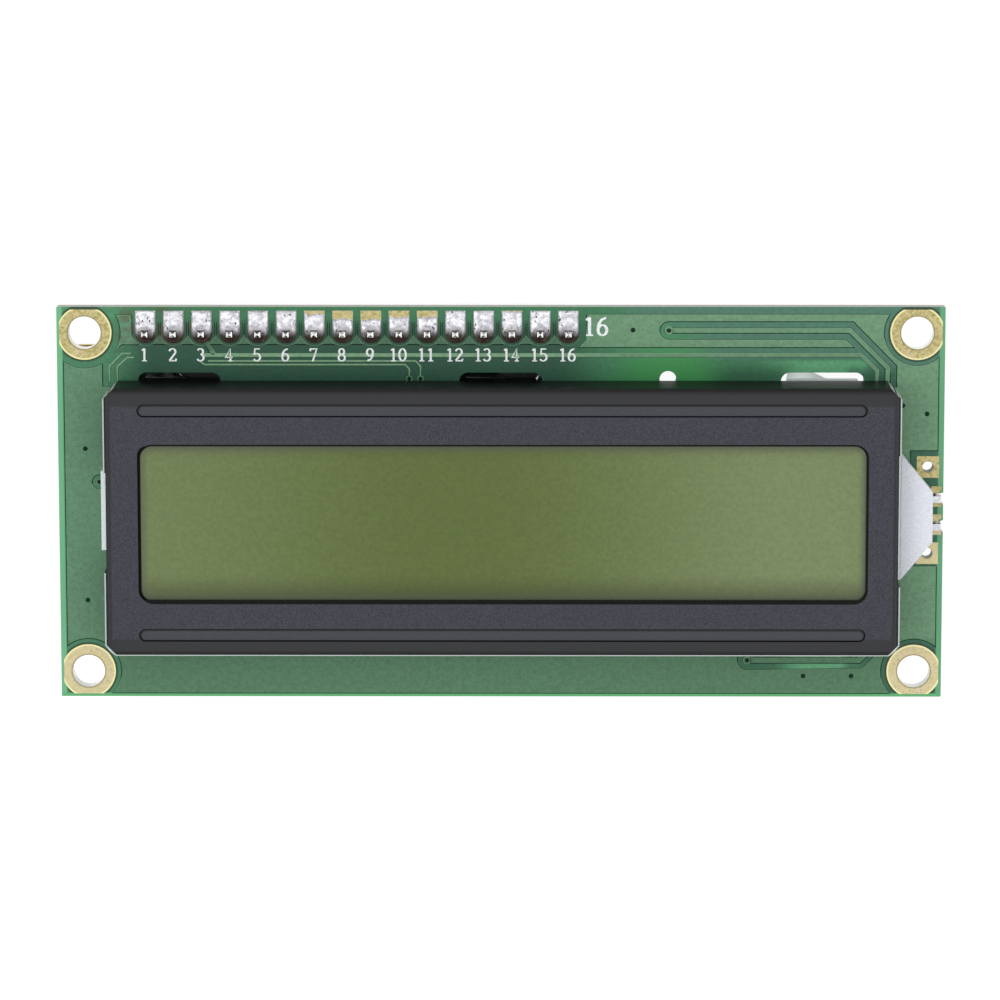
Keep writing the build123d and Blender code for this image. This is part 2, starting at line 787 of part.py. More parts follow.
# Pin row and solder
save("header_housing", make_header_housing())
for number, x in enumerate(pin_row(), start=1):
    pin = square_pin(x, pin_row_y, adapter_rear - pin_rear_height, pin_front_height, pin_side)
    save("header_pin_%02d" % number, pin)
save("front_solder_joints", [solder_cone(x, pin_row_y, 0, 1, pin_side) for x in pin_row()])

# Adapter board
save("adapter_board", make_adapter_board())
save("adapter_solder_joints", make_adapter_joints())
save("expander_chip_body", make_expander_body())
save("expander_chip_leads", make_expander_leads())
save("trimmer_body", make_trimmer_body())
save("trimmer_rotor", make_trimmer_rotor())
save("trimmer_pins", make_trimmer_pins())
save("bus_header_housing", make_right_angle_housing(-1, bus_leg_x, bus_first_pin_y, bus_pin_count))
for number, y in enumerate(bus_row(), start=1):
    save("bus_header_pin_%d" % number, make_right_angle_pin(-1, bus_leg_x, y))
save("jumper_header_housing", make_right_angle_housing(1, jumper_leg_x, jumper_first_pin_y, jumper_pin_count))
for number, y in enumerate(jumper_row(), start=1):
    save("jumper_header_pin_%d" % number, make_right_angle_pin(1, jumper_leg_x, y))
save("jumper_cap", make_jumper_cap())
save("backlight_transistor", make_transistor())
small_parts_x = adapter_right - small_parts_right_inset
power_lamp_y = adapter_bottom + power_lamp_bottom_inset
save("power_lamp", make_chip(small_parts_x, power_lamp_y, adapter_rear, power_lamp_size))
adapter_resistors = make_chip_row(
    adapter_left + adapter_resistor_left_inset, adapter_bottom + adapter_resistor_bottom_inset, adapter_rear,
    chip_resistor_size, adapter_resistor_count, adapter_resistor_pitch,
)
save("adapter_resistors", adapter_resistors)
adapter_capacitors = make_chip_row(
    small_parts_x, adapter_bottom + adapter_capacitor_bottom_inset, adapter_rear,
    chip_capacitor_size, adapter_capacitor_count, adapter_capacitor_pitch,
)
save("adapter_capacitors", adapter_capacitors)
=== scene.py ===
"""Finishes, fine detail and stage for a two-line character display module and its serial adapter."""

import math
import random

import bmesh
import bpy
from mathutils import Matrix, Vector, noise


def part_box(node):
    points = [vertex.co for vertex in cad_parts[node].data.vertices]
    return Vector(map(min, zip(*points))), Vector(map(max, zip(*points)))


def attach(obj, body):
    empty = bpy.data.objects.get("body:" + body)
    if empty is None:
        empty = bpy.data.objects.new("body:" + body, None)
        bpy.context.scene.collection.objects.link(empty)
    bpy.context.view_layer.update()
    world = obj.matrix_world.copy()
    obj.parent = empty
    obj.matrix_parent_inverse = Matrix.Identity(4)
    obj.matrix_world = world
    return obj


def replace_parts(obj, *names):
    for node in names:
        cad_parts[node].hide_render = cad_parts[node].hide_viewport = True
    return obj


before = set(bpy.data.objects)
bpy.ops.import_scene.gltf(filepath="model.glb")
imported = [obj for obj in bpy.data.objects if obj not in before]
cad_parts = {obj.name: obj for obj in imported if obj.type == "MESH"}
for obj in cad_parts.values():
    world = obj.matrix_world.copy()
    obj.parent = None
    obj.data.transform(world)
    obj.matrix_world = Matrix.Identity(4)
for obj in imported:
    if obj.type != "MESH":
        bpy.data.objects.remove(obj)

bl_info = {
    "name": "Character display module",
    "version": (1, 0, 0),
    "blender": (4, 5, 0),
    "location": "3D View > Sidebar > Display",
    "description": "Dresses a character display module and sets up its stage",
    "category": "Object",
}

MM = 0.001
FRAME_TOP, FRAME_BOTTOM = 11.15, -13.15
CORNER_CUT = 1.0
BEAD_ROWS = (9.18, -11.18)
BEAD_MIDDLE, BEAD_REACH = 0.15, 32.03
OPENING_MIDDLE = (0.26, -1.1)
OPENING_HALF = (32.66, 7.24)
OPENING_RADIUS = 1.3
TOOLING_HOLE = (15.07, 11.27)
PLATING = 0.05
INK = 0.02
MOTTLE = 0.12
LEAD_ROWS = (0.6, -1.97)
REAR_RESISTORS = [12.5 + 3.2 * step for step in range(7)]
ADAPTER_RESISTORS = (0.4, 2.7, 5.0, 7.3, 9.6)


def box_mm(node):
    """Lowest and highest corner of a CAD node, in millimetres."""
    low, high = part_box(node)
    return low / MM, high / MM


def middle(node):
    """Centre of a CAD node, in millimetres."""
    low, high = box_mm(node)
    return (low + high) / 2


def drop(node):
    """Middle and radius of a round node, in millimetres."""
    low, high = box_mm(node)
    return (low.x + high.x) / 2, (low.y + high.y) / 2, (high.x - low.x) / 2


def nodes_named(start):
    """Names of the CAD nodes that begin with some words."""
    return [name for name in sorted(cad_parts) if name.startswith(start)]


BOARD_LOW, BOARD_HIGH = box_mm("main_board")
BOARD_REAR = BOARD_LOW.z
HALF_LENGTH, HALF_WIDTH = BOARD_HIGH.x, BOARD_HIGH.y
BEZEL_LOW, BEZEL_HIGH = box_mm("bezel")
ADAPTER_LOW, ADAPTER_HIGH = box_mm("adapter_board")
CONTROLLER, DRIVER = drop("controller_blob"), drop("driver_blob")
HEADER_PINS = nodes_named("header_pin_")
PIN_CENTRES = [middle(name) for name in HEADER_PINS]
PIN_PITCH = PIN_CENTRES[1].x - PIN_CENTRES[0].x
PIN_TOP = box_mm(HEADER_PINS[0])[1].z
HOLE_X, HOLE_Y = HALF_LENGTH - 2.5, HALF_WIDTH - 2.35


def tint(red, green, blue):
    """Linear colour of a tone given as 0 to 255 display values."""
    def linear(value):
        share = value / 255
        return share / 12.92 if share <= 0.04045 else ((share + 0.055) / 1.055) ** 2.4
    return (linear(red), linear(green), linear(blue))


def size(name, default, note):
    """Property for a length."""
    return bpy.props.FloatProperty(name=name, description=note, default=default, unit="LENGTH", precision=5)


def angle(name, default, note):
    """Property for an angle."""
    return bpy.props.FloatProperty(name=name, description=note, default=math.radians(default), subtype="ANGLE")


def colour(name, default, note):
    """Property for a colour."""
    return bpy.props.FloatVectorProperty(
        name=name, description=note, default=default, size=3, min=0.0, max=1.0, subtype="COLOR"
    )


class BoardSettings(bpy.types.PropertyGroup):
    """Sizes and colours of the green board."""
    copper_height: size("Copper height", 0.045 * MM, "How far masked copper stands above the bare laminate")
    copper_edge: size("Copper edge", 0.08 * MM, "Width of the slope along a copper edge")
    ring_radius: size("Ring radius", 2.47 * MM, "Outer radius of the plated rings")
    ring_setback: size("Ring set-back", 0.24 * MM, "Gap between a ring's cut side and the board's edge")
    hole_radius: size("Hole radius", 1.5 * MM, "Radius of the mounting holes")
    via_radius: size("Via radius", 0.2 * MM, "Radius of a via's open middle")
    # Painted light: the next four mask tones stand in for light passing through the board. The first is painted shade
    # where the adapter lies behind; the other three are painted light where nothing lies behind.
    mask: colour("Mask", tint(20, 72, 50), "Solder mask over bare laminate with the adapter behind it")
    mask_lit: colour("Lit mask", tint(50, 114, 74), "Solder mask over bare laminate with nothing behind it")
    mask_bright: colour("Bright mask", tint(82, 150, 106), "Solder mask over bare laminate near the right edge")
    mask_edge: colour("Mask at the edge", tint(99, 168, 122), "Solder mask along the board's edges")
    mask_on_line: colour("Mask on narrow copper", tint(112, 150, 114), "Solder mask over narrow copper lines")
    mask_rear: colour("Mask behind", tint(38, 104, 64), "Solder mask of the board's back")
    mask_on_copper: colour("Mask on copper", tint(84, 127, 96), "Solder mask over copper")
    gold: colour("Gold", tint(194, 180, 131), "Plated pads and rings")
    print_ink: colour("Print", tint(236, 240, 240), "Printed numbers")


class PinRowSettings(bpy.types.PropertyGroup):
    """Sizes and colours of the sixteen soldered pins."""
    pad_width: size("Pad width", 1.84 * MM, "Width of each pad")
    pad_top: size("Pad top", 17.5 * MM, "Where the pads' straight ends lie")
    pad_bottom: size("Pad bottom", 14.56 * MM, "Where the pads' round ends lie")
    solder_height: size("Solder height", 0.2 * MM, "Thickness of the solder away from the pin")
    fillet_height: size("Fillet height", 0.75 * MM, "Height of the solder at the pin")
    number_height: size("Number height", 1.18 * MM, "Height of the printed pin numbers")
    solder: colour("Solder", tint(232, 232, 236), "Bright solder")
    # Also carries a painted dark reflection on the lower ends of the joints.
    flux: colour("Flux", tint(52, 38, 32), "Burnt flux round the pins")


class BezelSettings(bpy.types.PropertyGroup):
    """Finish of the folded sheet frame."""
    paint: colour("Paint", tint(39, 42, 52), "Satin black paint")
    # Bare metal of the cut edges and tabs, also the tone of the painted highlight along the sides and of the tab
    # painted light in the right slot.
    bare: colour("Bare metal", tint(184, 192, 190), "Cut edges of the sheet and its tabs")
    bare_width: size("Bare width", 0.15 * MM, "Width of the bright band along the sides")


class DisplaySettings(bpy.types.PropertyGroup):
    """Colours of the display window."""
    olive: colour("Olive", tint(81, 96, 41), "Middle of the window")
    # Painted light: the pale tone stands in for light on the window's ends.
    pale: colour("Pale", tint(108, 122, 80), "Ends of the window")
    shade: colour("Shade", tint(14, 18, 10), "Dark line next to the frame")


class StageSettings(bpy.types.PropertyGroup):
    """Camera, light and floor."""
    lens: bpy.props.FloatProperty(name="Lens", description="Focal length in millimetres", default=183.75)
    distance: size("Distance", 461.81 * MM, "From the camera to the board's middle")
    tilt: angle("Tilt", 9.264438, "How far the camera leans towards the pin row")
    turn: angle("Turn", -0.467283, "How far the camera stands to the side")
    roll: angle("Roll", 0.046666, "Turn about the line of sight")
    floor_gap: size("Floor gap", 0.02 * MM, "Gap between the lowest part and the floor")
    floor: colour("Floor", (0.82, 0.82, 0.82), "Pale floor")


class Value:
    """A shader node's output that takes part in arithmetic."""

    def __init__(self, finish, socket):
        self.finish = finish
        self.socket = socket

    def __add__(self, other):
        return self.finish.math("ADD", self, other)

    def __sub__(self, other):
        return self.finish.math("SUBTRACT", self, other)

    def __rsub__(self, other):
        return self.finish.math("SUBTRACT", other, self)

    def __mul__(self, other):
        return self.finish.math("MULTIPLY", self, other)

    def __abs__(self):
        return self.finish.math("ABSOLUTE", self)

    def most(self, other):
        """The larger of two values."""
        return self.finish.math("MAXIMUM", self, other)

    def least(self, other):
        """The smaller of two values."""
        return self.finish.math("MINIMUM", self, other)

    def ramp(self, start, end, low=0.0, high=1.0):
        """Smooth step from low to high between two places."""
        inputs = {"Value": self, "From Min": start, "From Max": end, "To Min": low, "To Max": high}
        return self.finish.output("MapRange", inputs, interpolation_type="SMOOTHSTEP")


class Finish:
    """A procedural material built round one principled shader."""

    def __init__(self, name, **sockets):
        self.material = bpy.data.materials.new(name)
        self.material.use_nodes = True
        self.tree = self.material.node_tree
        self.shader = self.tree.nodes["Principled BSDF"]
        place = self.node("TexCoord").outputs["Object"]
        self.millimetres = self.node("VectorMath", {0: place, "Scale": 1 / MM}, operation="SCALE").outputs[0]
        self.x, self.y, self.z = self.split(self.millimetres)
        self.normal_x, self.normal_y, self.normal_z = self.split(self.node("NewGeometry").outputs["Normal"])
        self.level = abs(self.normal_z)
        for socket, value in sockets.items():
            self.put(socket.replace("_", " ").title().replace("Ior", "IOR"), value)

    def node(self, kind, inputs=None, **settings):
        """Adds a node, sets it up and feeds its inputs."""
        node = self.tree.nodes.new("ShaderNode" + kind)
        for setting, value in settings.items():
            setattr(node, setting, value)
        for socket, value in (inputs or {}).items():
            self.feed(node.inputs[socket], value)
        return node

    def output(self, kind, inputs, port=0, **settings):
        """One output of a new node."""
        return Value(self, self.node(kind, inputs, **settings).outputs[port])

    def split(self, vector):
        """The three parts of a vector."""
        return [Value(self, part) for part in self.node("SeparateXYZ", {0: vector}).outputs]

    def feed(self, socket, value):
        """Links an output to a socket, or sets the socket's own value."""
        if isinstance(value, Value):
            value = value.socket
        if isinstance(value, bpy.types.NodeSocket):
            self.tree.links.new(value, socket)
        elif socket.type == "RGBA":
            socket.default_value = (*value[:3], 1.0)
        else:
            socket.default_value = value

    def put(self, socket, value):
        """Feeds one of the shader's sockets."""
        self.feed(self.shader.inputs[socket], value)

    def math(self, operation, first, second=0.0, clamp=False):
        """One arithmetic step."""
        return self.output("Math", {0: first, 1: second}, operation=operation, use_clamp=clamp)

    def mix(self, factor, first, second, blend="MIX"):
        """Mixes two colours."""
        node = self.node("Mix", data_type="RGBA", blend_type=blend)
        self.feed(node.inputs["Factor"], factor)
        self.feed(node.inputs[6], first)
        self.feed(node.inputs[7], second)
        return node.outputs[2]

    def stretched(self, stretch):
        """Place on the surface in millimetres, stretched along the axes."""
        return self.node("VectorMath", {0: self.millimetres, 1: stretch}, operation="MULTIPLY").outputs[0]

    def noise(self, scale, detail=3.0, roughness=0.5, stretch=(1.0, 1.0, 1.0)):
        """Noise with a number of waves per millimetre."""
        inputs = {"Vector": self.stretched(stretch), "Scale": scale, "Detail": detail, "Roughness": roughness}
        return self.output("TexNoise", inputs, "Fac")

    def cells(self, scale, stretch=(1.0, 1.0, 1.0)):
        """Distance to scattered points."""
        return self.output("TexVoronoi", {"Vector": self.stretched(stretch), "Scale": scale}, "Distance")

    def hypotenuse(self, first, second):
        """Length across two distances at a right angle."""
        return self.math("SQRT", first * first + second * second)

    def distance(self, x, y):
        """Distance in plan from a point."""
        return self.hypotenuse(self.x - x, self.y - y)

    def near_hole(self):
        """Distance in plan from the nearest mounting hole."""
        return self.hypotenuse(abs(self.x) - HOLE_X, abs(self.y) - HOLE_Y)

    def bar(self, x, y, reach):
        """Distance in plan from a straight line along X with this middle and half length."""
        return self.hypotenuse((abs(self.x - x) - reach).most(0.0), self.y - y)

    def opening(self):
        """Distance outwards from the window's middle part, which reaches the corner radius at its edge."""
        beyond = [(abs(place - centre) - (half - OPENING_RADIUS)).most(0.0)
                  for place, centre, half in zip((self.x, self.y), OPENING_MIDDLE, OPENING_HALF)]
        return self.hypotenuse(*beyond)

    def bump(self, height, strength, depth=0.05):
        """Roughens the surface, with the depth in millimetres."""
        inputs = {"Height": height, "Strength": strength, "Distance": depth * MM}
        self.put("Normal", self.node("Bump", inputs).outputs[0])


def bow(x, y, reach_x, reach_y, start, end, steps=17):
    """Points along part of an upright oval, with its angles in degrees."""
    turns = [math.radians(start + (end - start) * step / (steps - 1)) for step in range(steps)]
    return [(x + reach_x * math.cos(turn), y + reach_y * math.sin(turn)) for turn in turns]


def arc(x, y, radius, start, end, steps=24):
    """Points along an arc, with its angles in degrees."""
    return bow(x, y, radius, radius, start, end, steps)


def circle(x, y, radius, steps=48):
    """Closed round outline."""
    return arc(x, y, radius, 0.0, 360.0 - 360.0 / steps, steps)


def rectangle(x0, y0, x1, y1):
    """Closed rectangular outline."""
    return [(x0, y0), (x1, y0), (x1, y1), (x0, y1)]


def line_outline(path, reach):
    """Closed outline of a line, where reach gives half its width at each corner."""
    points = [Vector(point) for point in path]
    runs = [(after - before).normalized() for before, after in zip(points, points[1:])]
    left, right = [], []
    for here, into, away in zip(points, [runs[0], *runs], [*runs, runs[-1]]):
        along = (into + away).normalized()
        side = Vector((-along.y, along.x))
        offset = side * reach(along, side.dot(Vector((-into.y, into.x))))
        left.append(tuple(here + offset))
        right.append(tuple(here - offset))
    return left + right[::-1]


def ribbon(path, width):
    """Closed outline of a line of even width with mitred corners."""
    return line_outline(path, lambda along, mitre: width / 2 / max(mitre, 0.3))


def pen_line(path, thin, thick):
    """Closed outline of a pen stroke that is thin along X and thick along Y."""
    return line_outline(path, lambda along, mitre: (thin + (thick - thin) * abs(along.y)) / 2)


DIGITS = {
    "0": [bow(0.31, 0.5, 0.25, 0.46, 0, 360, 33)],
    "1": [[(0.31, 0), (0.31, 0.98)], [(0.31, 0.96), (0.12, 0.84)], [(0.12, 0.03), (0.5, 0.03)]],
    "2": [bow(0.3, 0.72, 0.23, 0.24, 165, -25) + [(0.07, 0.05)], [(0.05, 0.04), (0.56, 0.04), (0.58, 0.2)]],
    "3": [bow(0.28, 0.74, 0.21, 0.22, 155, -90), bow(0.28, 0.28, 0.25, 0.25, 90, -155)],
    "4": [[(0.42, 0), (0.42, 0.97), (0.05, 0.3), (0.6, 0.3)], [(0.26, 0.03), (0.58, 0.03)]],
    "5": [[(0.52, 0.95), (0.14, 0.95), (0.11, 0.55)] + bow(0.28, 0.31, 0.26, 0.28, 125, -150)],
    "6": [bow(0.31, 0.3, 0.23, 0.27, 0, 360, 33), [(0.08, 0.32), (0.11, 0.6), (0.25, 0.85), (0.5, 0.96)]],
    "7": [[(0.06, 0.78), (0.08, 0.95), (0.56, 0.95), (0.25, 0.0)]],
    "8": [bow(0.31, 0.74, 0.19, 0.22, 0, 360, 33), bow(0.31, 0.27, 0.24, 0.24, 0, 360, 33)],
    "9": [bow(0.31, 0.69, 0.23, 0.27, 0, 360, 33), [(0.54, 0.67), (0.51, 0.4), (0.37, 0.15), (0.12, 0.04)]],
}
DIGIT_STEP, DIGIT_WIDTH = 0.68, 0.62
PEN_THIN, PEN_THICK = 0.085, 0.16
STROKE_STEP = 0.004


class Form:
    """A mesh in the making, in millimetres, that ends as a named piece in metres."""

    def __init__(self):
        self.mesh = bmesh.new()

    def slab(self, loops, low, high, edge=0.0):
        """Flat plate between two heights, cut along closed outlines, where an inner outline is a hole."""
        edges = []
        for loop in loops:
            corners = [self.mesh.verts.new((x, y, low)) for x, y in loop]
            edges += [self.mesh.edges.new(pair) for pair in zip(corners, corners[1:] + corners[:1])]
        filled = bmesh.ops.triangle_fill(self.mesh, use_beauty=True, edges=edges)["geom"]
        floor = [item for item in filled if isinstance(item, bmesh.types.BMFace)]
        lifted = bmesh.ops.extrude_face_region(self.mesh, geom=floor)["geom"]
        top = [item for item in lifted if isinstance(item, bmesh.types.BMVert)]
        bmesh.ops.translate(self.mesh, verts=top, vec=(0, 0, high - low))
        around = {face for vert in top for face in vert.link_faces}
        around.update(floor)
        bmesh.ops.recalc_face_normals(self.mesh, faces=list(around))
        if edge:
            top_set = set(top)
            rim = [
                item for item in {line for vert in top for line in vert.link_edges}
                if set(item.verts) <= top_set and len(item.link_faces) == 2 and item.calc_face_angle() > 1.0
            ]
            bmesh.ops.bevel(self.mesh, geom=rim, offset=edge, segments=1, affect="EDGES", profile=0.5)

    def lathe(self, profile, x=0.0, y=0.0, steps=32):
        """Turned form from a list of radius and height pairs, closed where a radius is zero."""
        rings = []
        for radius, height in profile:
            if radius == 0:
                rings.append([self.mesh.verts.new((x, y, height))] * steps)
                continue
            turns = [2 * math.pi * step / steps for step in range(steps)]
            rings.append([
                self.mesh.verts.new((x + radius * math.cos(turn), y + radius * math.sin(turn), height))
                for turn in turns
            ])
        for lower, upper in zip(rings, rings[1:]):
            for step in range(steps):
                after = (step + 1) % steps
                corners = [lower[step], lower[after], upper[after], upper[step]]
                unique = list(dict.fromkeys(corners))
                if len(unique) > 2:
                    self.mesh.faces.new(unique)

    def sheet(self, rows):
        """Surface through rows of points, all rows equally long."""
        grid = [[self.mesh.verts.new(point) for point in row] for row in rows]
        for lower, upper in zip(grid, grid[1:]):
            for step in range(len(lower) - 1):
                self.mesh.faces.new((lower[step], lower[step + 1], upper[step + 1], upper[step]))
        return grid

    def number(self, text, x, y, height, base, top):
        """Plain number printed flat, with its middle at x and its foot at y."""
        start = -(DIGIT_STEP * (len(text) - 1) + DIGIT_WIDTH) / 2
        for index, digit in enumerate(text):
            left = start + index * DIGIT_STEP
            for layer, stroke in enumerate(DIGITS[digit]):
                line = [(x + height * (left + px), y + height * py) for px, py in stroke]
                self.slab([pen_line(line, PEN_THIN * height, PEN_THICK * height)], base, top + STROKE_STEP * layer)

    def frame(self, x0, y0, x1, y1, base, top, width=0.12):
        """Printed rectangle drawn as a line."""
        self.slab([rectangle(x0 - width, y0 - width, x1 + width, y1 + width), rectangle(x0, y0, x1, y1)], base, top)

    def piece(self, name, finish, slot, body="module", smooth=35.0):
        """Closes the form and puts it in the scene as a piece that rides on a body."""
        bmesh.ops.recalc_face_normals(self.mesh, faces=self.mesh.faces[:])
        mesh = bpy.data.meshes.new(name)
        self.mesh.to_mesh(mesh)
        self.mesh.free()
        mesh.transform(Matrix.Scale(MM, 4))
        mesh.shade_smooth()
        mesh.set_sharp_from_angle(angle=math.radians(smooth))
        mesh.materials.append(finish.material)
        piece = bpy.data.objects.new(name, mesh)
        bpy.context.scene.collection.objects.link(piece)
        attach(piece, body)
        return piece


def dress(finish, *nodes):
    """Gives CAD nodes a finish."""
    for node in nodes:
        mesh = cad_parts[node].data
        mesh.materials.clear()
        mesh.materials.append(finish.material)


def grained(finish, base, amount=MOTTLE):
    """Colour with a mottle at two scales."""
    mottle = finish.noise(2.2, 4.0, 0.65).ramp(0.3, 0.7, -amount, amount)
    speck = finish.noise(9.0, 2.0, 0.6).ramp(0.3, 0.7, -amount, amount)
    gain = mottle + speck + 1.0
    return finish.mix(1.0, base, finish.node("CombineXYZ", {0: gain, 1: gain, 2: gain}).outputs[0], "MULTIPLY")


def stained(finish, base):
    """Brown flux stains round the first pins, on the board's front."""
    near = abs(finish.x + 31.3).ramp(5.2, 1.5) * abs(finish.y - 16.3).ramp(2.4, 0.9)
    cloud = finish.noise(0.9, 5.0, 0.65).ramp(0.44, 0.66)
    front = finish.z.ramp(-0.3, -0.05)
    return finish.mix(near * cloud * (front * 0.85), base, tint(78, 66, 44))


def mask_finish(name, base):
    """Glossy solder mask over copper, with painted shade along the lower side of each step, a painted highlight along
    the upper, and painted light and shade by place.
    """
    finish = Finish(name, roughness=0.4, specular_ior_level=0.35)
    x, y = finish.x, finish.y
    # Painted shade: darker between the pads along the adapter's length, where the adapter lies behind.
    between = abs(x + 12.95).ramp(20.3, 19.9) * y.ramp(13.75, 13.95, 0.0, 0.75)
    # Painted light towards the upper right and the right end, and painted shade along the lower edge next to the frame.
    painted_light_upper_right = x.ramp(5.0, 12.0) * y.ramp(8.0, 13.0)
    bright = finish.mix(painted_light_upper_right.most(x.ramp(33.0, 37.0, 0.0, 0.9)), base, tint(96, 136, 103))
    shaded_near_low_frame = finish.mix(y.ramp(-12.0, -13.2, 0.0, 0.8), bright, tint(66, 108, 76))
    flat = stained(finish, grained(finish, finish.mix(between, shaded_near_low_frame, tint(46, 84, 62))))
    # Painted shade on steps that don't face up the board, and a painted highlight on steps facing up it.
    line = finish.mix(finish.normal_y.ramp(0.08, 0.22), tint(24, 66, 44), tint(124, 162, 128))
    finish.put("Base Color", finish.mix(finish.level.ramp(0.99, 0.94), flat, line))
    finish.bump(finish.noise(6.0, 2.0), 0.12, 0.02)
    return finish


def board_finish(board):
    """Bare mask on the faces and pale laminate on the cut sides.

    The face tones by place are painted light: paler where light would pass through the laminate with no copper or
    second board behind it, painted shade where the adapter lies behind, and a painted glow round the tooling hole.
    """
    finish = Finish("board_mask", roughness=0.4, specular_ior_level=0.35)
    x, y = finish.x, finish.y
    left, right = ADAPTER_LOW.x, ADAPTER_HIGH.x
    # Painted light past the adapter's ends and near the top edge, stronger past its left end; the plain mask is painted
    # shade over the adapter.
    beyond = x.ramp(right - 3.0, right + 2.5, 0.0, 0.9).most(y.ramp(15.4, 17.2, 0.0, 0.8))
    lit = finish.mix(beyond, board.mask, board.mask_lit)
    start = finish.mix(x.ramp(left + 2.5, left - 2.0, 0.0, 0.45), lit, board.mask_bright)
    # Painted light: a greyer backlit tone in the channels below the top lines, and the strong backlit tone under the
    # lines near the right end.
    corner = x.ramp(32.6, 33.4)
    channels = x.ramp(9.0, 14.0, 0.0, 0.9) * y.ramp(12.9, 13.3).most(corner)
    painted_backlight_under_lines = x.ramp(22.0, 28.0) * y.ramp(13.2, 12.8) * (1.0 - corner)
    end = finish.mix(painted_backlight_under_lines, finish.mix(channels, start, tint(66, 110, 92)), board.mask_bright)
    between_holes = x.ramp(17.5, 20.5) * x.ramp(27.5, 24.5)
    shadow = between_holes.most(x.ramp(30.8, 31.8)) * y.ramp(13.0, 11.6, 0.0, 0.75)
    shadowed = grained(finish, finish.mix(shadow, end, tint(24, 80, 54)))
    # Painted glow round the tooling hole, standing in for light passing through the board there.
    tooling = finish.distance(*TOOLING_HOLE).ramp(6.5, 1.5, 0.0, 0.7)
    bright = finish.mix(tooling, shadowed, tint(48, 140, 66))
    ring_edge = board.ring_radius / MM
    ring_gap = finish.near_hole().ramp(ring_edge + 0.24, ring_edge + 0.1, 0.0, 0.9)
    inner = finish.mix(ring_gap, bright, tint(20, 52, 30))
    # Painted light: pale tones along the board's ends and lower edge, standing in for light passing through the bare
    # laminate there.
    painted_backlight_at_ends = finish.mix(x.ramp(-1.0, 1.0), board.mask_edge, tint(88, 152, 110))
    sided = finish.mix(abs(x).ramp(HALF_LENGTH - 0.6, HALF_LENGTH - 0.4), inner, painted_backlight_at_ends)
    edged = finish.mix(y.ramp(0.35 - HALF_WIDTH, 0.25 - HALF_WIDTH), sided, tint(84, 162, 104))
    fibre = finish.noise(1.0, 4.0, 0.6, (1.0, 1.0, 14.0))
    fresh = finish.mix(finish.z.ramp(-1.15, -1.45), tint(140, 152, 138), tint(192, 196, 186))
    cut = finish.mix(fibre.ramp(0.35, 0.7, 0.0, 0.6), fresh, tint(128, 110, 100))
    rear = finish.normal_z.ramp(-0.5, -0.7)
    faces = finish.mix(rear, stained(finish, edged), grained(finish, board.mask_rear))
    finish.put("Base Color", finish.mix(finish.level.ramp(0.6, 0.3), faces, cut))
    finish.bump(finish.noise(6.0, 2.0), 0.12, 0.02)
    return finish


def gold_finish(name, base, stain=0.6):
    """Mottled plating with olive patches, pale stains and small dark craters."""
    finish = Finish(name, metallic=0.5, roughness=0.45)
    mottle = finish.noise(3.0, 6.0, 0.75)
    olive = finish.mix(mottle.ramp(0.36, 0.6), tint(142, 134, 76), base)
    lower = finish.mix(finish.y.ramp(0.0, -2.0, 0.0, 0.5), olive, tint(206, 196, 160))
    pale = finish.mix(finish.noise(0.7, 3.0, 0.6).ramp(0.55, 0.75, 0.0, stain), lower, tint(206, 190, 166))
    craters = finish.cells(2.6).ramp(0.12, 0.26, stain, 0.0) * finish.noise(0.8, 1.0).ramp(0.5, 0.6)
    finish.put("Base Color", finish.mix(craters, pale, tint(92, 82, 48)))
    finish.put("Roughness", mottle.ramp(0.3, 0.7, 0.36, 0.55))
    finish.bump(mottle, 0.5)
    return finish


def ring_finish(board):
    """Mottled plating of a mounting ring with a pale rim, a darker inner edge and a painted highlight on the hole wall.
    """
    finish = gold_finish("plated_gold", board.gold)
    mottled = finish.shader.inputs["Base Color"].links[0].from_socket
    outward = finish.near_hole()
    outer, inner = board.ring_radius / MM, board.hole_radius / MM
    rimmed = finish.mix(outward.ramp(outer - 0.22, outer - 0.1, 0.0, 0.75), mottled, tint(236, 230, 172))
    edged = finish.mix(outward.ramp(inner + 0.14, inner + 0.06, 0.0, 0.6), rimmed, tint(120, 112, 70))
    # Painted highlight: the hole wall is painted near white.
    finish.put("Base Color", finish.mix(finish.level.ramp(0.3, 0.1), edged, tint(240, 240, 236)))
    return finish


def solder_finish(pins):
    """Rough bright solder with dark pits, darker below each pin, partly with burnt flux and partly with a painted dark
    reflection.
    """
    finish = Finish("solder_front", metallic=0.5, roughness=0.45)
    lumps = finish.noise(2.4, 5.0, 0.6)
    pits = finish.cells(2.1, (1.5, 0.8, 1.0)).ramp(0.16, 0.26, 1.0, 0.0) * finish.noise(1.1, 2.0).ramp(0.5, 0.54)
    specks = finish.cells(5.0).ramp(0.2, 0.36, 1.0, 0.0) * finish.noise(1.7, 2.0).ramp(0.55, 0.62)
    pitted = pits.most(specks)
    grey = finish.mix(lumps.ramp(0.35, 0.65), pins.solder, tint(190, 188, 196))
    # Darker towards the lower end of each joint: burnt flux together with a painted dark reflection.
    below = (finish.y + lumps * 0.7).ramp(16.4, 15.4)
    burnt = finish.mix(below, grey, finish.mix(lumps, pins.flux, tint(96, 76, 68)))
    finish.put("Base Color", finish.mix(pitted, burnt, tint(36, 32, 32)))
    finish.put("Metallic", pitted.ramp(0.0, 1.0, 0.5, 0.1))
    finish.put("Roughness", lumps.ramp(0.3, 0.7, 0.35, 0.55))
    finish.bump(finish.noise(5.0, 4.0, 0.6), 0.4, 0.06)
    return finish


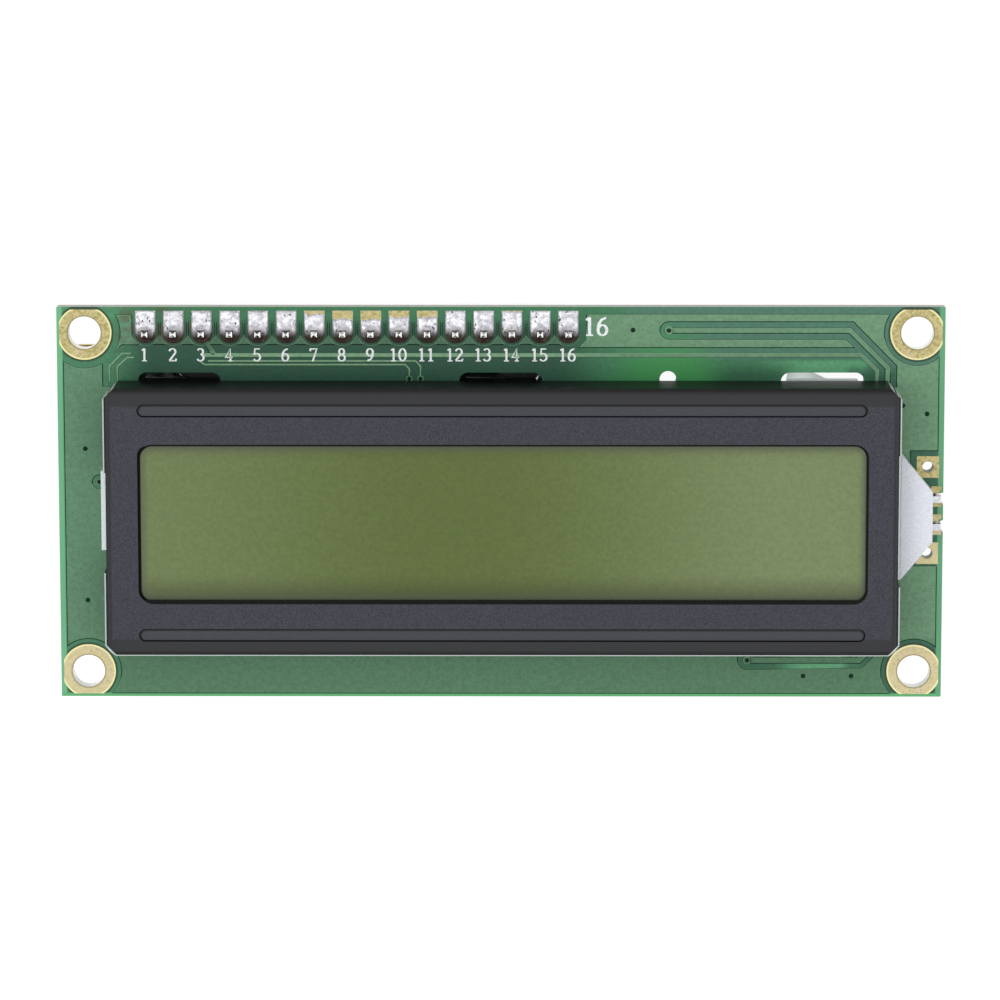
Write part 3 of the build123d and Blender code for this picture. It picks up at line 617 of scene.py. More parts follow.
def bezel_finish(bezel):
    """Satin black paint with a fine grain; painted shade on the bends, along the face's edges, round the window and
    along the beads, a painted sheen in the beads, bare metal on the cut edges and tab ends, and a painted highlight in
    bare metal along the lower bends of the sides.
    """
    finish = Finish("bezel_paint", specular_ior_level=0.35)
    x, y, z = finish.x, finish.y, finish.z
    to_side = (x - BEZEL_LOW.x).least(BEZEL_HIGH.x - x)
    low_end = y - FRAME_BOTTOM
    to_end = low_end.least(FRAME_TOP - y)
    grain = finish.noise(9.0, 3.0, 0.7)
    tone = finish.mix(grain.ramp(0.32, 0.68), tint(18, 20, 27), tint(58, 61, 73))
    broad = finish.mix(finish.noise(0.12, 2.0).ramp(0.3, 0.7, 0.1, 0.3), tone, bezel.paint)
    # Painted shade: darker along the face near its edges.
    painted_shade_near_edges = to_end.ramp(1.75, 1.45, 0.0, 0.9).most(to_side.ramp(0.9, 0.5, 0.0, 0.6))
    framed = finish.mix(painted_shade_near_edges, broad, tint(26, 27, 31))
    # Painted light on the beads: a paler sheen inside them and a dark painted shade line along their steep sides.
    for bead in BEAD_ROWS:
        outer = finish.bar(BEAD_MIDDLE, bead, BEAD_REACH).ramp(0.6, 0.56)
        inner = finish.bar(BEAD_MIDDLE, bead - 0.1, BEAD_REACH - 0.1).ramp(0.42, 0.48)
        painted_bead_sheen = finish.mix(outer * 0.6, framed, tint(54, 56, 63))
        framed = finish.mix(outer * inner, painted_bead_sheen, tint(8, 9, 12))
    # Painted shade: a dark line on the rounded lip round the window.
    lip = finish.opening().ramp(OPENING_RADIUS + 0.04, OPENING_RADIUS - 0.04)
    # Painted shade: the bends and a narrow band along the edges are painted dark.
    band = to_end.ramp(0.62, 0.48, 0.0, 0.8).most(to_side.ramp(0.75, 0.6, 0.0, 0.75))
    painted_shade_on_bends = finish.level.ramp(0.985, 0.9).most(band)
    folded = finish.mix(painted_shade_on_bends, finish.mix(lip, framed, tint(8, 9, 8)), tint(14, 14, 16))
    upper_wall = finish.normal_y.ramp(0.6, 0.9)
    # Bare metal on the tab ends behind the board; the bare tab in the right slot is painted light for the brightness
    # seen through that slot.
    behind = z.ramp(-1.6, -1.8).most(z.ramp(0.0, -0.1) * x.ramp(20.0, 21.0))
    finish.put("Roughness", finish.mix(upper_wall.most(behind), (0.45, 0.45, 0.45), (0.34, 0.34, 0.34)))
    cut_edge = lip * z.ramp(3.0, 3.2)
    finish.put("Specular IOR Level", upper_wall.most(cut_edge).ramp(0.0, 1.0, 0.35, 0.1))
    # Painted highlight: a bright bare-metal band along the lower half of the bends on the two ends and the lower side,
    # where the frame's outline runs; the corner cut edges are bare metal.
    width = bezel.bare_width / MM
    corner = (to_side + low_end - CORNER_CUT) * 0.7
    sides = to_side.least(low_end).least(corner).ramp(width * 1.1, width * 0.9)
    diagonal = abs(finish.normal_x) * abs(finish.normal_y)
    upright = finish.level.ramp(0.3, 0.1) * to_side.ramp(1.6, 1.4)
    bare_edges_and_side_highlight = (sides * finish.normal_z.ramp(0.02, 0.1)).most(diagonal.ramp(0.3, 0.4) * upright)
    finish.put("Base Color", finish.mix(bare_edges_and_side_highlight.most(behind), folded, bezel.bare))
    finish.put("Metallic", (bare_edges_and_side_highlight * 0.3).most(behind))
    finish.bump(grain, 0.15, 0.02)
    return finish


def window_finish(display):
    """Olive film that is painted paler towards the ends and darker at the top and bottom as painted light and shade,
    with a grey painted margin and a painted shadow line next to the frame.
    """
    finish = Finish("window_film", roughness=0.4, specular_ior_level=0.3)
    x, y = finish.x, finish.y
    # Painted light: paler towards both ends.
    pale = finish.math("ADD", x.ramp(-6.0, -34.0, 0.0, 0.65), x.ramp(-2.0, 31.0, 0.0, 1.1), clamp=True)
    ground = grained(finish, finish.mix(pale, display.olive, display.pale), 0.08)
    # Painted shade: darker towards the bottom and, less, the top.
    ends = y.ramp(-5.4, -8.0, 0.0, 0.62).most(y.ramp(4.4, 6.0, 0.0, 0.22))
    shaded = finish.mix(ends, ground, tint(44, 52, 30))
    outward = finish.opening()
    # Painted light: a grey margin round the window's edge, and a painted shadow line next to the frame.
    margin = outward.ramp(OPENING_RADIUS - 1.0, OPENING_RADIUS - 0.35, 0.0, 0.5)
    line = (OPENING_RADIUS - 0.26, OPENING_RADIUS - 0.16)
    greyed = finish.mix(margin, shaded, tint(74, 82, 70))
    finish.put("Base Color", finish.mix(outward.ramp(*line), greyed, display.shade))
    finish.put("Specular IOR Level", outward.ramp(*line, 0.3, 0.05))
    finish.bump(finish.noise(20.0, 2.0), 0.08, 0.01)
    return finish


def plain_finish(name, base, other, scale=6.0, **sockets):
    """Moulded or coated surface with a soft change of tone and a fine bump."""
    finish = Finish(name, **sockets)
    change = finish.noise(scale, 3.0, 0.6)
    finish.put("Base Color", finish.mix(change.ramp(0.3, 0.7), base, other))
    finish.bump(change, 0.2, 0.02)
    return finish


def ink_finish(name, ink):
    """White print."""
    return plain_finish(name, ink, tint(206, 212, 214), 9.0, roughness=0.6)


def glass_finish():
    """Clear display glass."""
    finish = Finish("display_glass", roughness=0.05, transmission_weight=0.9, ior=1.5)
    change = finish.noise(0.4).ramp(0.4, 0.6)
    finish.put("Base Color", finish.mix(change, (0.8, 0.86, 0.8), (0.76, 0.82, 0.78)))
    return finish


def ended_finish(name, base, other, centre, pitch=20.0, half=1.0):
    """Small chip, or a row of them along X, with a tinned cap at each end of its length."""
    finish = Finish(name)
    change = finish.noise(5.0, 3.0, 0.6)
    body = finish.mix(change.ramp(0.3, 0.7), base, other)
    offset = finish.math("PINGPONG", finish.x - centre, pitch / 2)
    cap = offset.ramp(half - 0.36, half - 0.3)
    finish.put("Base Color", finish.mix(cap, body, finish.mix(change, tint(222, 222, 226), tint(184, 186, 190))))
    finish.put("Metallic", cap)
    finish.put("Roughness", offset.ramp(half - 0.36, half - 0.3, 0.5, 0.3))
    finish.bump(change, 0.25, 0.02)
    return finish


def board_pour_outline():
    """Outline of the copper that covers the front, kept clear of the rings and of two signal lines."""
    corner = 2.95
    left_corner = 3.2
    x, y = 37.5, 15.5
    return [
        (7.7, 17.2),
        *arc(x, y, corner, 144.8, 312.7, 28),
        (39.5, 4.75), (37.0, 4.75), (37.0, -5.78), (39.5, -5.78),
        *arc(x, -y, corner, 47.3, 225.4, 28),
        *arc(-x, -y, corner, 314.6, 491.4, 28),
        *arc(-x, y, left_corner, 232.5, 301.0, 14),
        (-35.85, 10.6), (-35.0, 10.6), (-35.0, -12.75), (21.52, -12.75),
        *arc(22.37, -14.5, 0.85, 180.0, 262.0, 10),
        (32.8, -15.19), (34.9, -13.1), (35.3, -12.75),
        (35.3, 10.6), (35.62, 10.6), (35.62, 12.5), (31.72, 16.47),
        *arc(15.14, 15.7, 0.78, 95.0, 265.0, 14),
        (31.07, 14.92), (31.86, 14.13), (6.95, 14.13), (7.66, 14.85),
    ]


def pad_outline(pins, x):
    """Pad with a straight upper end and a round lower end."""
    half = pins.pad_width / MM / 2
    top = pins.pad_top / MM
    return [(x + half, top), (x - half, top), *arc(x, pins.pad_bottom / MM + half, half, 180.0, 360.0, 18)]


WIDE_LINE = 0.5
FRONT_LINES = (
    ([(-27.0, 13.47), (32.43, 13.47), (33.88, 12.05), (33.88, 11.0)], 0.36),
    ([(-26.4, 12.93), (-7.67, 12.93), (-7.23, 12.45), (-7.23, 11.5)], 0.17),
    ([(-27.3, 13.05), (-26.7, 12.6), (-8.62, 12.6), (-8.24, 12.2), (-8.24, 11.5)], 0.17),
    ([(15.4, 15.7), (31.42, 15.7), (34.84, 12.3), (34.84, 11.0)], 0.54),
    ([(22.6, -14.5), (32.55, -14.5), (34.3, -12.8)], 0.6),
    ([(-33.3, 13.6), (-34.12, 13.6), (-35.27, 12.43), (-35.27, 11.0)], 0.17),
    ([(-33.0, 13.24), (-33.64, 13.24), (-34.55, 12.4), (-34.55, 11.0)], 0.17),
)
RINGED_VIAS = ((15.14, 15.7, 0.4), (-36.3, 1.9, 0.3), (22.37, -14.5, 0.4), (-8.24, 11.3, 0.3), (-7.23, 11.3, 0.3))
FILLED_VIAS = ((11.91, 15.76), (36.25, 8.9), (38.44, 8.15), (-37.55, 4.95), (-37.5, -8.95), (27.47, -15.94),
               (31.83, -15.93))


class DISPLAY_OT_board(bpy.types.Operator):
    """Finishes the green board and lays its masked copper"""
    bl_idname = "display.board"
    bl_label = "Green board"
    bl_options = {"REGISTER", "UNDO"}

    def execute(self, context):
        settings = context.scene.display_module
        board, pins = settings.board, settings.pin_row
        dress(board_finish(board), "main_board")
        covered = mask_finish("masked_copper", board.mask_on_copper)
        height, edge = board.copper_height / MM, board.copper_edge / MM
        form, narrow = Form(), Form()
        form.slab([board_pour_outline(), circle(-36.3, 1.9, 0.62)], 0.0, height, edge)
        for path, width in FRONT_LINES:
            if width < WIDE_LINE:
                narrow.slab([ribbon(path, width)], 0.0, height, 0.03)
            else:
                form.slab([ribbon(path, width)], 0.0, height, edge)
        half_pad, half_pitch = pins.pad_width / MM / 2, PIN_PITCH / 2
        round_centre = pins.pad_bottom / MM + half_pad
        for centre in PIN_CENTRES:
            rim = arc(centre.x, round_centre, half_pad + 0.24, 205.0, 335.0, 12)
            narrow.slab([ribbon(rim, 0.07)], 0.0, height * 0.8, 0.01)
        clear = half_pitch - 0.1
        for centre in PIN_CENTRES[:-1]:
            gap = centre.x + half_pitch
            left = arc(gap - half_pitch, round_centre, clear, 0.0, -68.0, 8)
            right = arc(gap + half_pitch, round_centre, clear, 248.0, 180.0, 8)
            form.slab([[(gap - 0.12, 16.5), *left, *right, (gap + 0.12, 16.5)]], 0.0, height, edge)
        corner = [
            (-34.85, 13.72), (-34.1, 14.38), (-32.75, 14.36),
            *arc(PIN_CENTRES[0].x, round_centre, 1.16, 240.0, 180.0, 8),
            (-33.16, 17.15), (-34.72, 17.15), *arc(-37.5, 15.5, 3.2, 28.0, -32.0, 8),
        ]
        form.slab([corner], 0.0, height, edge)
        form.slab([ribbon([(-26.6, 14.7), (-25.8, 13.5)], 0.5)], 0.0, height, edge)
        form.piece("front_copper", covered, "green_board")
        narrow.piece("front_lines", mask_finish("masked_lines", board.mask_on_line), "green_board")
        self.vias(board.via_radius / MM, covered, height)
        return {"FINISHED"}

    def vias(self, radius, covered, height):
        """Small plated holes whose dark middles are painted shade standing in for the inside of the holes."""
        # Painted shade: dark discs stand in for the shade inside the via holes; the filled vias get the same dark tone.
        dark = plain_finish("via_middle", tint(10, 34, 22), tint(20, 50, 34), roughness=0.6, specular_ior_level=0.1)
        rings, middles = Form(), Form()
        for x, y, outer in RINGED_VIAS:
            rings.slab([circle(x, y, outer, 24), circle(x, y, radius, 24)], 0.0, height, 0.015)
            middles.slab([circle(x, y, radius, 24)], 0.0, height * 0.3)
        for x, y in FILLED_VIAS:
            middles.lathe([(radius * 1.1, height), (radius * 0.8, height + 0.02), (0, height + 0.01)], x, y, 20)
        rings.piece("via_rings", covered, "green_board")
        middles.piece("via_middles", dark, "green_board")


class DISPLAY_OT_rings(bpy.types.Operator):
    """Plates the four mounting holes"""
    bl_idname = "display.rings"
    bl_label = "Mounting rings"
    bl_options = {"REGISTER", "UNDO"}

    def execute(self, context):
        board = context.scene.display_module.board
        reach_x, reach_y = HALF_LENGTH - board.ring_setback / MM, HALF_WIDTH - board.ring_setback / MM
        hole, rear = board.hole_radius / MM, BOARD_REAR
        finish = ring_finish(board)
        form = Form()
        for x, y in [(x, y) for x in (-HOLE_X, HOLE_X) for y in (-HOLE_Y, HOLE_Y)]:
            rim = [(min(max(px, -reach_x), reach_x), min(max(py, -reach_y), reach_y))
                   for px, py in circle(x, y, board.ring_radius / MM, 96)]
            form.slab([rim, circle(x, y, hole, 64)], 0.0, PLATING, 0.02)
            form.slab([rim, circle(x, y, hole, 64)], rear - PLATING, rear)
            wall = [(hole - 0.02, rear - 0.03), (hole - 0.02, 0.03)]
            form.lathe([*wall, (hole, 0.03), (hole, rear - 0.03), wall[0]], x, y, 64)
        form.piece("mounting_rings", finish, "solder")
        return {"FINISHED"}


class DISPLAY_OT_numbers(bpy.types.Operator):
    """Prints plain numbers beside the pins"""
    bl_idname = "display.numbers"
    bl_label = "Pin numbers"
    bl_options = {"REGISTER", "UNDO"}

    def execute(self, context):
        settings = context.scene.display_module
        height = settings.pin_row.number_height / MM
        top = settings.board.copper_height / MM + INK
        form = Form()
        for index, centre in enumerate(PIN_CENTRES):
            form.number(str(index + 1), centre.x - 0.1, 12.92, height, 0.0, top)
        form.number(str(len(PIN_CENTRES)), 8.58, 15.24, 1.7, 0.0, top)
        form.piece("pin_numbers", ink_finish("print_ink", settings.board.print_ink), "white_film")
        return {"FINISHED"}


class DISPLAY_OT_pin_row(bpy.types.Operator):
    """Makes the pads, the solder and the pin tips of the pin row"""
    bl_idname = "display.pin_row"
    bl_label = "Pin row"
    bl_options = {"REGISTER", "UNDO"}

    def execute(self, context):
        settings = context.scene.display_module
        pins = settings.pin_row
        pads = Form()
        for centre in PIN_CENTRES:
            pads.slab([pad_outline(pins, centre.x)], 0.0, PLATING, 0.02)
        pads.piece("pin_pads", gold_finish("pad_gold", settings.board.gold, 0.2), "solder")
        self.solder(pins)
        metal = Finish("pin_metal", metallic=1.0, roughness=0.3)
        metal.put("Base Color", metal.mix(metal.z.ramp(-0.4, 0.1), tint(214, 178, 102), tint(62, 50, 44)))
        metal.bump(metal.noise(3.0, 3.0, 0.5, (4.0, 4.0, 0.5)), 0.2, 0.02)
        dress(metal, *HEADER_PINS)
        self.tips()
        return {"FINISHED"}

    def tips(self):
        """Pin ends, each cut to four sides, with painted shade on the upper and lower sides and the others painted
        white as a painted highlight.
        """
        form = Form()
        corners = rectangle(-0.27, -0.27, 0.27, 0.27)
        for x, y, _ in PIN_CENTRES:
            foot, rim = [[form.mesh.verts.new((x + px, y + py, PIN_TOP - depth)) for px, py in corners]
                         for depth in (0.3, 0.06)]
            peak = form.mesh.verts.new((x, y, PIN_TOP + 0.08))
            form.mesh.faces.new(foot)
            for step in range(4):
                after = (step + 1) % 4
                form.mesh.faces.new((foot[step], foot[after], rim[after], rim[step]))
                form.mesh.faces.new((rim[step], rim[after], peak))
        finish = Finish("tip_tin", metallic=0.5, roughness=0.3)
        # Painted shade on the sides facing up and down the board; the white elsewhere is a painted highlight.
        across = abs(finish.normal_y) - abs(finish.normal_x)
        painted_shade_facets = across.ramp(0.05, 0.15) * finish.noise(3.0, 2.0).ramp(0.3, 0.6, 0.3, 1.0)
        finish.put("Base Color", finish.mix(painted_shade_facets, tint(255, 255, 255), tint(70, 62, 58)))
        finish.bump(finish.noise(6.0, 2.0), 0.2, 0.02)
        form.piece("pin_tips", finish, "solder", smooth=10.0)

    def solder(self, pins):
        """Sixteen rough solder joints on their pads."""
        form = Form()
        random.seed(7)
        bare_tops = {6: 0.35, 7: 0.75, 8: 0.8, 9: 0.6, 10: 0.6}
        for index, centre in enumerate(PIN_CENTRES):
            self.joint(form, pins, index, centre, bare_tops.get(index, random.uniform(0.0, 0.08)))
        joints = form.piece("front_solder", solder_finish(pins), "solder", smooth=70.0)
        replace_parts(joints, "front_solder_joints")

    def joint(self, form, pins, index, centre, bare_top, across=26, along=40):
        """One joint: thin and rough over the pad, rising to the pin."""
        half = pins.pad_width / MM / 2 + 0.01
        bottom, top = pins.pad_bottom / MM - 0.01, pins.pad_top / MM + 0.01
        rows = []
        for row in range(along + 1):
            y = bottom + (top - bottom) * row / along
            depth = min(y - bottom, half)
            wide = math.sqrt(max(half ** 2 - (half - depth) ** 2, 0.0))
            line = []
            for step in range(across + 1):
                side = 2 * step / across - 1
                x = centre.x + side * wide
                ragged = bare_top + min(bare_top * 2, 0.3) * noise.noise(Vector((x * 2.2, index * 3.7, 0.5)))
                rim = min((1 - abs(side)) * wide, y - bottom, top - ragged - y)
                rise = min(rim / 0.22, 1.0)
                rise = math.sqrt(rise * (2 - rise)) if rise > 0 else 0.0
                offset = math.hypot(x - centre.x, y - centre.y)
                fillet = (pins.fillet_height / MM) * math.exp(-((offset / 0.5) ** 2))
                seed = Vector((x * 1.6, y * 1.6, index * 7.3))
                rough = noise.noise(seed) * 0.16 + noise.noise(seed * 3.1) * 0.06
                lift = rise * (pins.solder_height / MM + fillet + rough * 0.7)
                line.append((x, y, PLATING + lift if rim > 0 else 0.03))
            rows.append(line)
        form.sheet(rows)


class DISPLAY_OT_bezel(bpy.types.Operator):
    """Paints the folded sheet frame"""
    bl_idname = "display.bezel"
    bl_label = "Folded frame"
    bl_options = {"REGISTER", "UNDO"}

    def execute(self, context):
        dress(bezel_finish(context.scene.display_module.bezel), "bezel")
        return {"FINISHED"}


class DISPLAY_OT_window(bpy.types.Operator):
    """Finishes the films, glasses and contact strips of the display"""
    bl_idname = "display.window"
    bl_label = "Display window"
    bl_options = {"REGISTER", "UNDO"}

    def execute(self, context):
        dress(window_finish(context.scene.display_module.display), "front_polarizer")
        dress(plain_finish("rear_film", tint(96, 108, 74), tint(104, 116, 82), roughness=0.35), "rear_polarizer")
        dress(glass_finish(), "front_glass", "rear_glass")
        rubber = Finish("contact_rubber", roughness=0.7)
        stripes = rubber.output("TexWave", {"Vector": rubber.millimetres, "Scale": 4.0}, "Fac", bands_direction="X")
        rubber.put("Base Color", rubber.mix(stripes, tint(40, 40, 44), tint(206, 206, 200)))
        dress(rubber, "zebra_strip_upper", "zebra_strip_lower")
        return {"FINISHED"}


class DISPLAY_OT_backlight(bpy.types.Operator):
    """Finishes the light guide, its films, the lamp and the lamp's leads"""
    bl_idname = "display.backlight"
    bl_label = "Backlight"
    bl_options = {"REGISTER", "UNDO"}

    def execute(self, context):
        dress(plain_finish("white_film", tint(222, 224, 231), tint(204, 207, 217), 7.0, roughness=0.55,
                           specular_ior_level=0.3), "diffuser_film", "reflector_film", "tab_cover_film")
        dress(plain_finish("milky_guide", tint(246, 252, 250), tint(238, 246, 242), 2.0, roughness=0.25,
                           subsurface_weight=0.2), "light_guide")
        dress(plain_finish("lamp_moulding", tint(222, 220, 206), tint(210, 208, 192), roughness=0.4), "backlight_lamp")
        dress(plain_finish("tinned_metal", tint(206, 208, 212), tint(178, 180, 186), 3.0, roughness=0.3, metallic=1.0),
              "backlight_lead_upper", "backlight_lead_lower", "expander_chip_leads", "trimmer_pins")
        dress(plain_finish("bright_solder", tint(216, 218, 222), tint(150, 152, 158), 4.0, roughness=0.3, metallic=1.0),
              "lead_solder")
        self.lead_joints()
        gold = gold_finish("lamp_pad_gold", context.scene.display_module.board.gold, 0.25)
        form = Form()
        for y in (3.3, -4.6):
            form.slab([rectangle(37.55, y - 1.0, 39.6, y + 1.0), circle(38.57, y, 0.5, 32)], 0.0, PLATING, 0.02)
        for y in LEAD_ROWS:
            notched = [(38.9, y - 0.95), (39.85, y - 0.95), *arc(40.0, y, 0.56, 254.0, 106.0, 16), (39.85, y + 0.95),
                       (38.9, y + 0.95)]
            form.slab([notched], 0.0, PLATING, 0.02)
        form.piece("lamp_pads", gold, "solder")
        return {"FINISHED"}

    def lead_joints(self, steps=14):
        """Ragged solder where the lamp's two leads end in the edge notches."""
        form = Form()
        for y in LEAD_ROWS:
            rows = []
            for row in range(steps + 1):
                across = row / steps
                line = []
                for step in range(steps + 1):
                    along = step / steps
                    px, py = 38.86 + 0.9 * along, y - 0.5 + 0.8 * across
                    rough = noise.noise(Vector((px * 4.0, py * 4.0, y)))
                    dome = math.sin(math.pi * along) * math.sin(math.pi * across)
                    ragged = 0.12 * noise.noise(Vector((along * 4.0, y, 3.0))) * (1 if 0 < row < steps else 0)
                    line.append((px, py + ragged, 0.04 + 0.3 * dome * (1 + rough)))
                rows.append(line)
            grid = form.sheet(rows)
            ends = [line[-1] for line in grid[1:-1]], [line[0] for line in grid[-2:0:-1]]
            form.mesh.faces.new([*grid[0], *ends[0], *grid[-1][::-1], *ends[1]])
        finish = Finish("lead_tin", metallic=0.6, roughness=0.35)
        # Painted shade: noise-placed dark patches on the solder.
        gap = finish.noise(2.6, 3.0, 0.6).ramp(0.46, 0.56)
        finish.put("Base Color", finish.mix(gap, tint(232, 232, 230), tint(52, 46, 42)))
        finish.bump(finish.noise(5.0, 3.0), 0.4)
        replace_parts(form.piece("lead_joints", finish, "solder", smooth=60.0), "lead_solder")


class DISPLAY_OT_rear(bpy.types.Operator):
    """Finishes the back of the green board"""
    bl_idname = "display.rear"
    bl_label = "Back of the green board"
    bl_options = {"REGISTER", "UNDO"}

    def execute(self, context):
        board = context.scene.display_module.board
        self.copper(board, BOARD_REAR, BOARD_REAR - board.copper_height / MM)
        self.resin()
        self.outlines(board.print_ink, BOARD_REAR, BOARD_REAR - board.copper_height / MM - INK)
        dress(ended_finish("resistor_row", tint(30, 30, 32), tint(44, 44, 46), 12.5, 3.2), "main_board_resistors")
        dress(ended_finish("capacitor_pair", tint(178, 142, 104), tint(160, 124, 88), 32.6), "main_board_capacitors")
        return {"FINISHED"}

    def copper(self, board, base, top):
        """Masked copper: fans round the two resin drops, a bus between them and a border."""
        form = Form()
        for (x, y, radius), count, floor in ((CONTROLLER, 40, -11.9), (DRIVER, 32, -11.0)):
            for index in range(count):
                turn = 2 * math.pi * (index + 0.5) / count
                reach = radius + (1.0 if index % 2 else 1.9)
                ends = [(x + r * math.cos(turn), y + r * math.sin(turn)) for r in (radius - 0.25, reach)]
                if ends[1][1] < floor:
                    continue
                form.slab([ribbon(ends, 0.2)], base, top, 0.02)
                form.slab([circle(*ends[1], 0.34, 20)], base, top - 0.006, 0.02)
        for step in range(4):
            y = -9.2 - 0.75 * step
            form.slab([ribbon([(-5.2 + 0.75 * step, y), (13.2 - 0.75 * step, y)], 0.3)], base, top, 0.02)
        for x in REAR_RESISTORS:
            form.slab([ribbon([(x, 9.0), (x, 10.4)], 0.35)], base, top, 0.02)
        form.slab([rectangle(-33.8, -17.2, 33.8, -15.0)], base, top, 0.02)
        form.piece("rear_copper", mask_finish("rear_mask", board.mask_on_copper), "green_board")

    def resin(self, steps=14):
        """Smooth resin drops over the display chips."""
        finish = plain_finish("black_resin", tint(20, 20, 22), tint(30, 30, 33), 0.8, roughness=0.2, coat_weight=0.3)
        for name, node, (x, y, radius) in (("controller_drop", "controller_blob", CONTROLLER),
                                           ("driver_drop", "driver_blob", DRIVER)):
            low, high = box_mm(node)
            turns = [math.pi / 2 * step / steps for step in range(steps)]
            profile = [(radius * math.cos(turn), high.z - (high.z - low.z) * math.sin(turn) ** 0.8) for turn in turns]
            form = Form()
            form.lathe([(0, high.z), *profile, (0, low.z)], x, y, 72)
            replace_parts(form.piece(name, finish, "black_resin", smooth=60.0), node)
            dress(finish, node)

    def outlines(self, ink, base, top):
        """White outlines round the chips and the resin drops."""
        form = Form()
        for x, y, radius in (CONTROLLER, DRIVER):
            form.slab([circle(x, y, radius + 0.62, 96), circle(x, y, radius + 0.44, 96)], base, top)
        for x in REAR_RESISTORS:
            form.frame(x - 1.3, 6.7, x + 1.3, 8.5, base, top)
        for y in (-9.0, -4.6):
            form.frame(31.2, y - 0.95, 34.0, y + 0.95, base, top)
        form.piece("rear_print", ink_finish("rear_ink", ink), "white_film")


